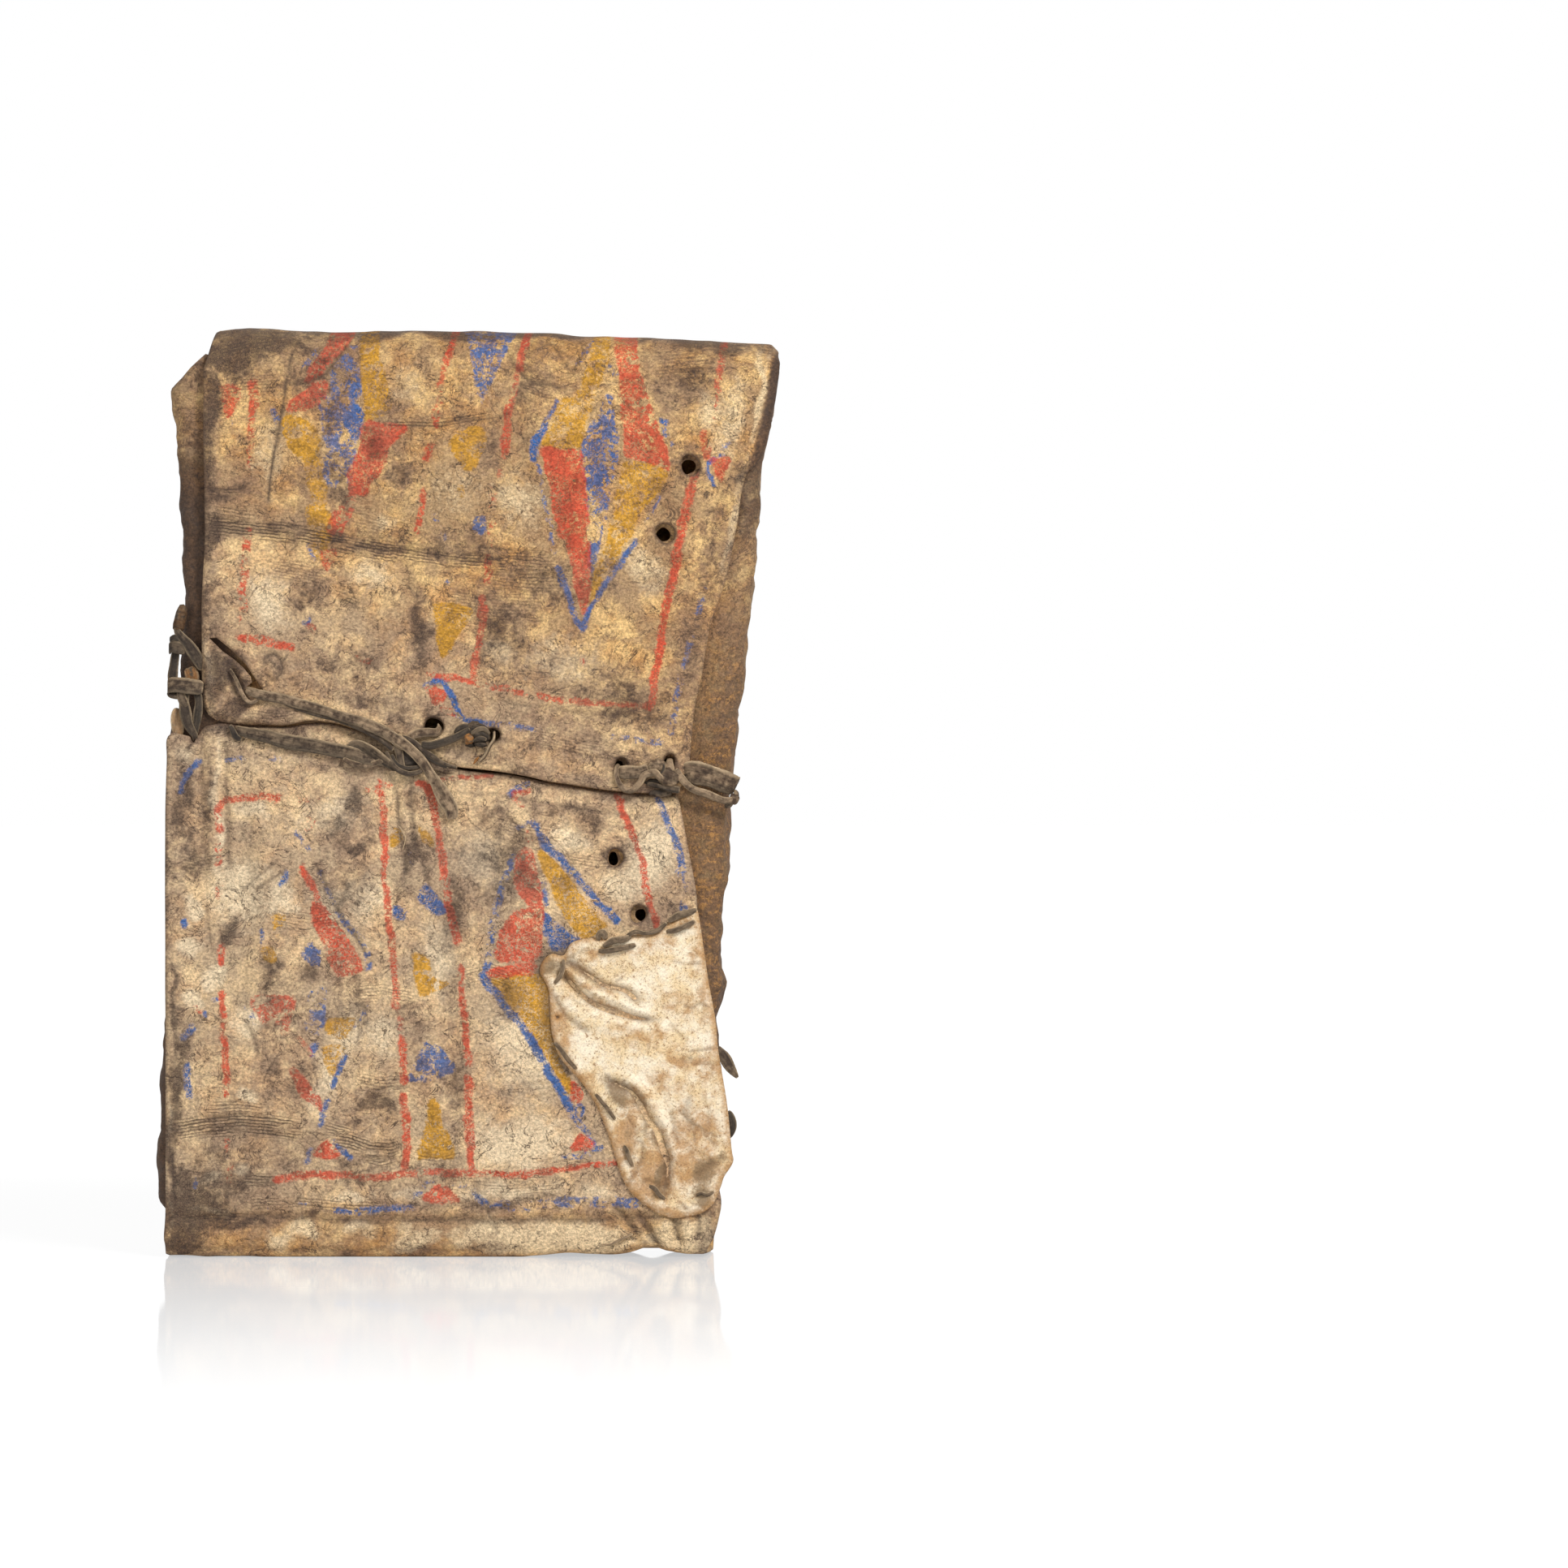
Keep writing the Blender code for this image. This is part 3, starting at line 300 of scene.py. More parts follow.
LOWER_PALE_AND_HIGHLIGHT = [
    (88, -186, 237, 8, 7), (90, -187, 211, 8, 7), (84, -173, 188, 9, 9), (86, -187, 173, 9, 8),
    (88, -152, 111, 8, 9), (84, -155, 61, 9, 7), (80, -175, 52, 7, 5), (70, -150, 158, 12, 12),
    (60, -91, 299, 30, 14, 20), (66, -146, 302, 16, 10), (70, -69, 242, 18, 18), (72, 41, 143, 30, 44),
    (84, 123, 270, 20, 26, -20), (78, 68, 283, 16, 14), (84, 35, 77, 40, 20), (70, -80, 154, 16, 20),
    (66, 8, 270, 24, 20), (70, -17, 204, 12, 30), (66, 24, 44, 46, 8), (70, 101, 253, 14, 12),
    (60, -193, 341, 5, 12), (72, -170, 308, 4, 50), (100, 71, 11, 60, 14), (90, 98, 13, 16, 13),
    (70, -152, 248, 26, 26), (66, -127, 242, 14, 16), (100, 146, 12, 30, 13), (80, 130, 10, 10, 8),
    (84, 161, 19, 8, 12), (70, 93, 12, 30, 7), (60, 85, 47, 20, 8), (84, -75, 20, 14, 6),
    (80, -34, 13, 18, 9), (74, -112, 19, 12, 6), (84, 20, 14, 40, 12), (72, -2, 10, 12, 7),
    (76, -124, 11, 10, 7), (70, -80, 43, 18, 5), (66, -42, 41, 12, 5), (70, -204, 72, 2, 90),
    (66, -173, 32, 20, 3, -4), (70, -102, 110, 10, 18), (76, -97, 121, 9, 20, 10), (60, -58, 154, 20, 18),
    (66, -86, 242, 26, 10),
]
LOWER_TAN = [
    (76, -135, 12, 60, 9), (92, -31, 12, 80, 12), (84, 68, 12, 70, 12), (80, 148, 12, 30, 12),
    (60, -124, 336, 30, 6, -10), (60, -53, 82, 20, 30), (50, -9, 248, 20, 40), (70, -141, 77, 50, 20),
    (56, -157, 99, 40, 20), (54, -179, 324, 10, 30), (50, 41, 105, 40, 30), (60, 145, 270, 8, 30, -10),
    (56, -86, 41, 40, 8),
]

# Creases and folds, as (depth, width, darkness in percent, and then the line); a negative depth is
# a ridge. The darkness is painted shade and grime in the crease.
UPPER_CREASES = drawn(3, [
    (0.6, 1.2, 55, -176, 498, 24, 0, 28, -2, 27, -5, 28, -5, 27, -5, 33, -5),
    (0.6, 1.1, 55, -175, 495, 29, -1, 27, -3, 28, -5, 27, -5, 33, -4),
    (0.5, 1.1, 50, -173, 492, 32, -1, 28, -4, 27, -5), (0.5, 1.1, 50, -135, 487, 27, -4, 22, -4, 18, -2),
    (0.5, 1.1, 46, -97, 494, 28, -4, 27, -5, 17, -3), (0.9, 1.8, 50, -80, 483, 38, -4, 33, -6, 32, 0),
    (0.6, 1.2, 62, -178, 521, 12, -1, 14, 1), (0.6, 1.2, 62, -177, 518, 12, -2, 12, 1),
    (0.5, 1.1, 50, -176, 514, 12, 0, 8, 1), (0.4, 1, 46, -87, 455, 11, -3), (0.4, 1, 46, -87, 453, 12, -4),
    (0.4, 1, 46, -87, 449, 13, -3), (0.4, 1, 40, -87, 446, 13, -3), (0.4, 1, 40, -86, 443, 12, -2),
    (0.4, 1.1, 92, -116, 623, -5, -19, -4, -25, -4, -23, -4, -22, -3, -33),
    (0.3, 0.9, 60, -100, 553, -5, -17), (0.7, 1.4, 56, -122, 590, 24, 8, 18, 23),
    (0.6, 1.2, 50, -135, 590, 23, 4, 14, 4), (0.6, 1.2, 56, -54, 565, 30, -1, 15, 3, 29, 3, 15, 12, -7, 11),
    (0.7, 1.3, 62, 25, 617, 10, -16, 9, -8, 12, -2, 11, -4), (0.6, 1.2, 56, 37, 595, -2, -10, 5, -3, 7, -3),
    (0.6, 1.2, 56, 47, 615, 12, 3, 6, -10, 6, -7, 9, 13), (0.5, 1.1, 50, 35, 561, 5, -9, 1, 6),
    (0.6, 1.2, 50, -9, 482, 22, -1, 22, -2, 24, -4), (0.5, 1.1, 48, -6, 477, 30, -2, 25, -3),
    (0.5, 1.1, 44, -3, 472, 33, -3), (0.5, 1.1, 44, 13, 464, 28, -3, 22, 0),
    (0.8, 1.4, 70, -164, 404, 8, -15, 5, -11, 6, -3, 5, 3), (0.9, 1.4, 80, -169, 397, 2, -6, 2, -11),
    (-3.6, 4.2, 0, -175, 420, 0, -18, 1, -17, 5, -12, 9, -6, 25, -2),
    (3.6, 5.4, 88, -164, 409, 2, -10, 4, -9, 5, -8), (1.2, 3, 60, -173, 417, 3, -13, 2, -12, 2, -11),
    (0.8, 1.4, 60, -161, 409, 3, -11, 4, -11, 4, -9), (0.6, 1.1, 50, -167, 373, 10, -4, 11, -1),
    (0.6, 1.1, 44, -169, 378, 8, -6, 13, -1), (0.6, 1.1, 44, -165, 381, 8, -6, 10, -2),
    (1.2, 1.5, 84, -138, 398, 0, 8, 6, 3, 5, -4, 1, -8, -5, -5, -6, 2, -1, 5),
    (0.8, 3, 20, -135, 522, 27, -21, 28, -11), (-1, 5, 0, -133, 369, 47, -3, 44, -11, 33, -14),
    (1, 5, 14, 41, 622, -6, -56, 11, -65), (-0.9, 7, 0, 167, 616, -6, -50, -10, -44, -8, -54, -8, -55),
    (0.9, 6, 16, 181, 544, -12, -49, -9, -49, -9, -50), (-0.8, 6, 0, 68, 468, -5, -55, 5, -44),
    (0.8, 5, 12, -53, 522, 11, -54, 11, -55), (0.7, 1.6, 40, 13, 378, 33, -5, 33, -4, 39, -3),
    (0.6, 1.5, 36, -9, 355, 44, -6, 44, -8, 39, -8), (0.5, 1.2, 44, 146, 468, 10, -7, 7, -10),
    (0.4, 1.5, 90, 195, 535, 6, 5, 6, 4),
])
LOWER_CREASES = drawn(3, [
    (-1.6, 3.2, 0, -173, 361, 0, -37, 1, -44, 2, -32), (0.9, 2.2, 44, -181, 358, 2, -56, 2, -49),
    (0.9, 2, 50, -163, 355, 0, -53, 1, -44), (1, 1.8, 72, -49, 323, 2, -21, 2, -22, 4, -22),
    (0.9, 1.6, 66, -39, 324, 2, -27, 6, -27, 6, -22), (-0.9, 3, 0, -44, 322, 2, -30, 6, -34),
    (0.7, 1.2, 62, -201, 87, 16, 4, 19, 3, 20, -2, 19, -2, 15, -2),
    (0.6, 1.1, 58, -199, 84, 20, 4, 22, 2, 22, -3, 21, -3),
    (0.6, 1.1, 54, -188, 81, 20, 5, 16, 0, 22, -3, 18, -3), (0.5, 1.1, 50, -174, 95, 22, 2, 17, -3, 16, -3),
    (0.7, 1.2, 62, -91, 85, 11, -4, 13, -5, 14, 0, 8, 3),
    (0.6, 1.1, 56, -90, 81, 11, -3, 14, -5, 13, 0, 8, 3), (0.5, 1.1, 50, -83, 76, 14, -7, 13, 0, 11, 4),
    (0.5, 1, 44, -75, 69, 14, -3, 14, 3), (0.4, 1, 46, -152, 56, 22, -2), (0.4, 1, 46, -151, 53, 23, -1),
    (0.4, 1, 42, -150, 50, 23, -1), (0.4, 1, 46, -59, 59, 1, -15), (0.4, 1, 46, -56, 59, 0, -15),
    (0.4, 1, 42, -53, 59, 1, -14), (0.4, 0.9, 62, -196, 262, 26, 10), (0.4, 0.9, 56, -155, 247, 27, 23),
    (0.4, 0.9, 56, -147, 247, 24, 16), (0.8, 1.3, 74, -105, 272, 7, -15, 11, -24, 12, -17, 8, -14),
    (0.6, 1.1, 66, 14, 310, 17, -14, 9, -12), (0.5, 1.2, 50, -177, 240, 2, -16, 2, -17),
    (0.6, 1.3, 56, -151, 162, 7, -14, 3, -13), (0.6, 1.2, 62, -39, 116, -24, -1),
    (0.5, 1.1, 56, -36, 174, -14, -8), (0.7, 1.2, 50, 6, 56, 1, -14, 6, -5),
    (2.4, 3, 76, 99, 36, 10, -12, 7, -11), (1.2, 2.4, 56, 146, 26, -4, -8, 4, -9),
    (1, 1.4, 90, -184, 356, -3, -7, -4, -7), (-2.5, 4, 0, 133, 28, 1, -14, 1, -12),
    (-2.5, 4, 0, 148, 30, 2, -14, -2, -14), (2, 2, 70, 141, 29, 0, -9, 3, -9),
    (1.8, 2, 66, 155, 29, 2, -8, -2, -10), (2.6, 3, 84, 114, 31, 7, -10, 4, -11, 5, -8),
    (0.8, 1.6, 50, 107, 16, 9, -6, 6, -7), (0.8, 1.6, 56, 13, 40, 2, -12, 7, -12),
    (1.6, 2.6, 30, 157, 50, 3, -17, 3, -17), (0.9, 1.6, 64, -196, 116, -3, -28, -1, -27, 2, -31),
    (0.6, 1, 80, -187, 21, 7, -1),
    (1.2, 2.2, 60, -204, 28, 30, -2, 39, 2, 49, -3, 55, 1, 66, -1, 66, 1, 61, 2),
    (-1.2, 5, 0, -204, 16, 69, -1, 77, 3, 82, -4, 66, 2), (0.8, 2, 40, -204, 6, 107, -1, 132, 1),
    (1.2, 6, 20, -152, 324, 6, -76, -6, -83), (-1.2, 8, 0, -97, 324, 22, -54, 17, -55),
    (1, 6, 16, -20, 248, 11, -83, 0, -83), (-1, 8, 0, 24, 302, 11, -87, -11, -77),
    (0.8, 4, 24, 79, 302, -11, -44, -5, -54), (0.7, 1.5, 44, -9, 316, 44, -5, 44, -7, 44, -6),
])


# Bundles of fine wrinkles, as (strength in percent, half width, and then the line, left to right)
UPPER_WRINKLES = drawn(2, [
    (95, 9, -179, 497, 27, -3, 28, -3, 27, -5, 28, -5, 27, -5), (90, 6, -69, 482, 27, -5, 33, -5, 44, -3),
    (85, 5, -180, 519, 14, -1, 16, 0), (60, 6, -178, 507, 21, -3, 22, -3),
    (85, 8, -90, 452, 10, -4, 10, -4), (60, 9, -9, 475, 33, -2, 39, -2), (50, 8, 8, 461, 33, -3, 27, -1),
    (50, 8, -174, 588, 22, 4, 28, 2), (60, 5, -58, 566, 38, -1, 39, 6), (45, 10, -135, 468, 22, -4, 22, -5),
    (60, 5, -177, 612, 25, 4, 28, 4), (50, 10, 35, 594, 22, -6, 22, 6), (44, 12, 123, 604, 22, 2, 28, 1),
    (40, 14, -20, 446, 33, -5, 44, -2), (50, 5, -152, 369, 22, -3, 22, 3),
    (40, 8, 35, 355, 44, -10, 44, -9), (40, 10, -80, 501, 27, -6, 22, -5),
])
LOWER_WRINKLES = drawn(2, [
    (90, 10, -202, 85, 23, 4, 27, 2, 22, -2, 20, -3), (70, 7, -185, 99, 28, 2, 27, -3),
    (90, 9, -94, 81, 14, -3, 14, -5, 13, -1, 11, 4), (80, 6, -75, 69, 16, -3, 16, 4),
    (80, 6, -155, 53, 14, -1, 16, 0), (80, 7, -100, 90, 14, -4, 14, -5),
    (60, 6, -152, 36, 33, 2, 33, -3, 33, -1), (60, 6, -196, 25, 22, 3, 28, -2),
    (55, 7, -42, 72, 22, -3, 22, 5), (50, 8, -80, 178, 22, 2, 27, -4), (50, 9, -80, 121, 22, -4, 22, 2),
    (45, 10, -9, 187, 22, 6, 22, -7), (50, 8, 13, 297, 28, -8, 27, -4), (45, 10, -135, 231, 27, -5, 28, 5),
    (45, 8, -198, 270, 19, -4, 22, 4), (40, 8, -20, 50, 44, -2, 44, 3), (45, 9, 63, 270, 27, -4, 28, 4),
    (50, 6, -58, 341, 33, -11, 38, -7),
])


# ---- Flat geometry

def columns(points, by_height=False):
    """The points' two coordinates as arrays, ordered for interpolation along x or along height."""
    table = np.array(sorted(points, key=lambda p: p[1 if by_height else 0]), dtype=float)
    return (table[:, 1], table[:, 0]) if by_height else (table[:, 0], table[:, 1])


def smoothstep(value, low, high):
    """0 below low, 1 above high and a soft step between them."""
    share = np.clip((np.asarray(value, dtype=float) - low) / (high - low), 0, 1)
    return share * share * (3 - 2 * share)


def fading(value, low, high):
    """1 below low, 0 above high and a soft step between them."""
    return 1 - smoothstep(value, low, high)


def peak(value, middle, width):
    """1 at the middle, and less and less to both sides."""
    return np.exp(-((value - middle) / width) ** 2)


def wander(px, pz, size, seed):
    """Even unsteadiness from about -1 to 1, with swells about as wide as size."""
    grid = np.random.default_rng(seed).uniform(-1, 1, (64, 64))
    u, v = (0.8 * px + 0.6 * pz) / size + 640.3, (0.8 * pz - 0.6 * px) / size + 640.7
    i, j = np.floor(u).astype(int), np.floor(v).astype(int)
    s, t = u - i, v - j
    s, t = s * s * (3 - 2 * s), t * t * (3 - 2 * t)
    low = grid[i % 64, j % 64] * (1 - s) + grid[(i + 1) % 64, j % 64] * s
    high = grid[i % 64, (j + 1) % 64] * (1 - s) + grid[(i + 1) % 64, (j + 1) % 64] * s
    return 1.3 * (low * (1 - t) + high * t)


def curved(points, step, closed=False):
    """A smooth line through the points, with new points about step apart."""
    knots = np.array(points, dtype=float)
    around = np.vstack([knots[-1:], knots, knots[:2]]) if closed else \
        np.vstack([2 * knots[:1] - knots[1:2], knots, 2 * knots[-1:] - knots[-2:-1]])
    out = []
    for a, b, c, d in zip(around, around[1:], around[2:], around[3:]):
        count = max(1, int(round(np.linalg.norm(c - b) / step)))
        for k in range(count):
            t = k / count
            out.append(0.5 * (2 * b + (c - a) * t + (2 * a - 5 * b + 4 * c - d) * t ** 2
                              + (3 * b - a - 3 * c + d) * t ** 3))
    if not closed:
        out.append(knots[-1])
    return np.array(out)


def to_line(line, px, pz):
    """Each place's distance from a line, and how far along it the nearest point is, from 0 to 1."""
    near, share = np.full(len(px), 1e6), np.zeros(len(px))
    steps = np.linalg.norm(np.diff(line, axis=0), axis=1)
    total, gone = max(steps.sum(), 1e-6), 0.0
    for (ax, az), (bx, bz), step in zip(line, line[1:], steps):
        if step < 1e-9:
            continue
        t = np.clip(((px - ax) * (bx - ax) + (pz - az) * (bz - az)) / step ** 2, 0, 1)
        gap = np.hypot(px - ax - t * (bx - ax), pz - az - t * (bz - az))
        closer = gap < near
        near[closer], share[closer] = gap[closer], (gone + t[closer] * step) / total
        gone += step
    return near, share


def inside(ring, px, pz):
    """Which places lie inside a closed ring."""
    found = np.zeros(len(px), dtype=bool)
    for (ax, az), (bx, bz) in zip(ring, np.roll(ring, -1, axis=0)):
        if az != bz:
            found ^= ((az > pz) != (bz > pz)) & (px < (bx - ax) * (pz - az) / (bz - az) + ax)
    return found


def close_to(line, px, pz, reach):
    """The numbers of the places within reach of a line's box."""
    (x0, z0), (x1, z1) = line.min(axis=0) - reach, line.max(axis=0) + reach
    return np.nonzero((px > x0) & (px < x1) & (pz > z0) & (pz < z1))[0]


def hole_ring(x, z, radius, seed):
    """A slightly uneven round hole."""
    chance = np.random.default_rng(seed)
    turns = np.arange(24) / 24 * 2 * math.pi
    uneven = 1 + 0.07 * np.sin(2 * turns + chance.uniform(0, 6))
    uneven = radius * (uneven + 0.05 * np.sin(3 * turns + chance.uniform(0, 6)))
    return np.column_stack([x + uneven * np.cos(turns), z + uneven * np.sin(turns)])


def closed(ring):
    """A ring with its first point again at its end."""
    return np.vstack([ring, ring[:1]])


def gaps(first, second):
    """How far each point of one line lies from each point of another."""
    return np.hypot(first[:, None, 0] - second[None, :, 0], first[:, None, 1] - second[None, :, 1])


def guides(creases, paints, spacing):
    """The narrow creases and painted lines, for a mesh that follows them."""
    chosen = [points for depth, width, shade, points in creases if width < 2]
    chosen += [points for percent, width, points in paints if width]
    return [curved(points, spacing) for points in chosen]


def cut_hide(outline, openings, lines, spacing):
    """Cuts a flat hide to an outline with its openings, as an even mesh with points along the lines.
    Returns its points and triangles, and how far each point lies from the cut edges."""
    rings = [outline] + openings
    low, high = outline.min(axis=0), outline.max(axis=0)
    rows = []
    for k, z in enumerate(np.arange(low[1], high[1], spacing * 0.87)):
        xs = np.arange(low[0] + (k % 2) * spacing / 2, high[0], spacing)
        rows.append(np.column_stack([xs, np.full(len(xs), z)]))
    grid = np.vstack(rows)
    keep = inside(outline, grid[:, 0], grid[:, 1])
    extra = []
    for line in lines:
        own = line[inside(outline, line[:, 0], line[:, 1])]
        for ring in rings:
            if len(own):
                own = own[to_line(closed(ring), own[:, 0], own[:, 1])[0] > spacing * 0.5]
        for other in extra:
            if len(own):
                own = own[gaps(own, other).min(axis=1) > spacing * 0.45]
        if len(own):
            extra.append(own)
            near = close_to(own, grid[:, 0], grid[:, 1], spacing)
            keep[near[gaps(grid[near], own).min(axis=1) < spacing * 0.62]] = False
    for ring in rings:
        near = np.nonzero(keep)[0] if ring is outline else close_to(ring, grid[:, 0], grid[:, 1], spacing)
        gap = to_line(closed(ring), grid[near, 0], grid[near, 1])[0]
        keep[near[gap < spacing * 0.55]] = False
    points = np.vstack(rings + extra + [grid[keep]])
    edges, start = [], 0
    for ring in rings:
        edges += [(start + k, start + (k + 1) % len(ring)) for k in range(len(ring))]
        start += len(ring)
    found = geometry.delaunay_2d_cdt([Vector(p) for p in points], edges, [], 0, 1e-5)
    points, faces = np.array([tuple(v) for v in found[0]]), np.array([tuple(f) for f in found[2]])
    middle = points[faces].mean(axis=1)
    good = inside(outline, middle[:, 0], middle[:, 1])
    for ring in openings:
        near = close_to(ring, middle[:, 0], middle[:, 1], 1)
        good[near] &= ~inside(ring, middle[near, 0], middle[near, 1])
    faces = faces[good]
    used, faces = np.unique(faces, return_inverse=True)
    points = points[used]
    edge = np.full(len(points), 60.0)
    for ring in rings:
        near = np.arange(len(points)) if ring is outline else close_to(ring, points[:, 0], points[:, 1], 12)
        edge[near] = np.minimum(edge[near], to_line(closed(ring), points[near, 0], points[near, 1])[0])
    return points, faces.reshape(-1, 3), edge


# ---- Marks on the hide

def pressed(px, pz, creases, seed, amount=1.0):
    """How far the hide stands out at each place, and how dark its creases are there, as painted shade and
    grime.
    """
    lift = amount * (1.2 * wander(px, pz, 90, seed) + 0.75 * wander(px, pz, 32, seed + 1)
                     + 0.24 * wander(px, pz, 11, seed + 2))
    wx, wz = px + 0.9 * wander(px, pz, 11, seed + 3), pz + 0.9 * wander(px, pz, 11, seed + 4)
    dark = np.zeros(len(px))
    for depth, width, shade, points in creases:
        line = curved(points, 4.0)
        near = close_to(line, px, pz, width * 4 + 2)
        gap, along = to_line(line, wx[near], wz[near])
        taper = np.clip(np.minimum(along, 1 - along) * 7 + 0.2, 0, 1)
        lift[near] += taper * depth * (0.3 * peak(gap, 2.2 * width, width) - peak(gap, 0, width))
        dark[near] = np.maximum(dark[near], taper * shade / 100 * peak(gap, 0, 0.9 * width))
    return lift, dark


def rimmed(px, pz, holes, lift, dark):
    """The same lift and darkness, with a raised rim, and darker round each hole."""
    for x, z, radius in holes:
        gap = np.hypot(px - x, pz - z) - radius
        lift = lift + 0.9 * peak(gap, 2.2, 1.8)
        dark = np.maximum(dark, 0.75 * fading(gap, 0.2, 2.6))
    return lift, dark


def painted(px, pz, shapes, seed):
    """How far each place lies inside the paint of one colour, and how strong that paint is."""
    depth, strength = np.full(len(px), -12.0), np.zeros(len(px))
    wx, wz = px + 0.9 * wander(px, pz, 8, seed), pz + 0.9 * wander(px, pz, 8, seed + 1)
    for percent, width, points in shapes:
        line = curved(points, 3.0, closed=width == 0)
        near = close_to(line, px, pz, 12)
        gap = to_line(closed(line) if width == 0 else line, wx[near], wz[near])[0]
        if width == 0:
            gap = np.where(inside(line, wx[near], wz[near]), gap, -gap)
        else:
            gap = width * 0.41 - gap
        better = gap > depth[near]
        depth[near[better]], strength[near[better]] = gap[better], percent / 100
    return np.clip(depth, -12, 12), strength


def coats(px, pz, colours, seed):
    """The same for every colour: first how far inside, then how strong."""
    return tuple(zip(*(painted(px, pz, shapes, seed + 3 * k) for k, shapes in enumerate(colours))))


def patched(px, pz, spots, seed):
    """How strongly soft-edged spots mark each place."""
    wx, wz = px + 4 * wander(px, pz, 14, seed), pz + 4 * wander(px, pz, 14, seed + 1)
    total = np.zeros(len(px))
    for percent, x, z, wide, tall, *lean in spots:
        c, s = math.cos(math.radians(sum(lean))), math.sin(math.radians(sum(lean)))
        u, v = ((wx - x) * c + (wz - z) * s) / wide, ((wz - z) * c - (wx - x) * s) / tall
        total = np.maximum(total, percent / 100 * fading(np.hypot(u, v), 0.1, 1.6))
    return total


def bundled(px, pz, bundles, crackle):
    """How strongly bundles of fine wrinkles mark each place, how far above its bundle's middle it
    lies, and how crackled the hide's skin is there."""
    share, across = np.zeros(len(px)), np.zeros(len(px))
    for percent, reach, points in bundles:
        x, z = columns(points)
        gap = pz - np.interp(px, x, z)
        mark = percent / 100 * fading(np.abs(gap), 0.5 * reach, reach)
        mark = mark * smoothstep(px, x[0], x[0] + 9) * fading(px, x[-1] - 12, x[-1])
        better = mark > share
        share[better], across[better] = mark[better], gap[better]
    return share, across, crackle


def soiled(px, pz, edge, seed):
    """The grime that handling leaves along the edges of a hide."""
    return fading(edge, 1, 20) * (0.36 + 0.4 * wander(px, pz, 30, seed))


# ---- Folding

def fold_upper(x, h):
    """Where the upper hide's flat places come to lie, which way is outward there, and the height at
    which each is seen, measured over the fold."""
    turn = np.clip((h - UPPER_CREASE) / FOLD_LENGTH, 0, 1) * math.pi
    rise = np.interp(x, *columns(TOP_LINE)) - UPPER_CREASE
    y = MIDDLE - HALF_DEPTH * np.cos(turn)
    z = np.minimum(h, UPPER_CREASE) + rise * np.sin(turn)
    seen = np.where(turn > math.pi / 2, 2 * (UPPER_CREASE + rise) - z, z)
    z = z + CREST_LIFT * np.sin(turn)
    ny, nz = -np.cos(turn) * (rise + CREST_LIFT), np.sin(turn) * HALF_DEPTH
    size = np.hypot(ny, nz)
    ny, nz = np.where(turn > 0, ny / size, -1.0), np.where(turn > 0, nz / size, 0.0)
    x = x + 10 * np.sin(turn) * smoothstep(-x, 110, 180)
    ridge = np.interp(h, *columns(CURL_RIDGE, by_height=True))
    bend = np.maximum(fading(h, 604, 626) / CURL_RADIUS, 1e-4)
    beyond = np.maximum(x - ridge, 0)
    arc = np.minimum(beyond, 1.9 * CURL_RADIUS)
    angle, rest = arc * bend, beyond - arc
    x = np.minimum(x, ridge) + np.sin(angle) / bend + rest * np.cos(angle)
    y = y + (1 - np.cos(angle)) / bend + rest * np.sin(angle)
    outward = np.column_stack([np.sin(angle), ny * np.cos(angle), nz])
    return np.column_stack([x, y, z]), outward, seen


def fold_lower(x, h):
    """Where the lower hide's flat places come to lie, and which way is outward there."""
    r, down = BASE_RADIUS, np.maximum(LOWER_CREASE - h, 0)
    upright, quarter = LOWER_CREASE - r, math.pi / 2 * r
    base = BACK - FRONT - 2 * r
    first = np.clip(down - upright, 0, quarter) / r
    second = np.clip(down - upright - quarter - base, 0, quarter) / r
    along = np.clip(down - upright - quarter, 0, base)
    after = np.maximum(down - upright - 2 * quarter - base, 0)
    y = FRONT + r * (1 - np.cos(first)) + along + r * np.sin(second)
    z = np.maximum(h, r) - r * np.sin(first) + r * (1 - np.cos(second)) + after
    ny, nz = -np.cos(first) + np.sin(second), -np.sin(first) * np.cos(second)
    return np.column_stack([x, y, z]), np.column_stack([0 * x, ny, nz])


def fold_wrap(p, h):
    """The same for the wrap round the back, whose flat p runs from the middle of the back."""
    side, far = np.where(p < 0, -1.0, 1.0), np.abs(p)
    left, right = (np.interp(h, *columns(line, by_height=True)) for line in (WALL_LEFT, WALL_RIGHT))
    wide = np.where(p < 0, -left, right) - 4.5 * fading(h, 20, 40)
    edge = np.where(p < 0, LEFT_FREE_EDGE, RIGHT_FREE_EDGE)
    r, quarter = WALL_CORNER, math.pi / 2 * WALL_CORNER
    wall = BACK - SIDE_FRONT - 2 * r
    a = np.clip(far - HALF_BACK, 0, quarter) / r
    flat = np.clip(far - HALF_BACK - quarter, 0, wall)
    b = np.clip(far - HALF_BACK - quarter - wall, 0, quarter) / r
    front = np.maximum(far - HALF_BACK - 2 * quarter - wall, 0) / INNER_FLAP
    x = np.minimum(far, HALF_BACK) / HALF_BACK * (wide - r) + r * np.sin(a) - r * (1 - np.cos(b))
    x = x - front * (wide - r - edge)
    y = BACK - r * (1 - np.cos(a)) - flat - r * np.sin(b)
    nx, ny = np.sin(a) * np.cos(b), np.cos(a) - np.sin(b)
    return np.column_stack([side * x, y, h]), np.column_stack([side * nx, ny, 0 * x])


# ---- Materials

def colour(code):
    """A colour written as it should look, turned into the light values that shaders use."""
    parts = [int(code[k:k + 2], 16) / 255 for k in (1, 3, 5)]
    return [c / 12.92 if c < 0.04045 else ((c + 0.055) / 1.055) ** 2.4 for c in parts] + [1.0]


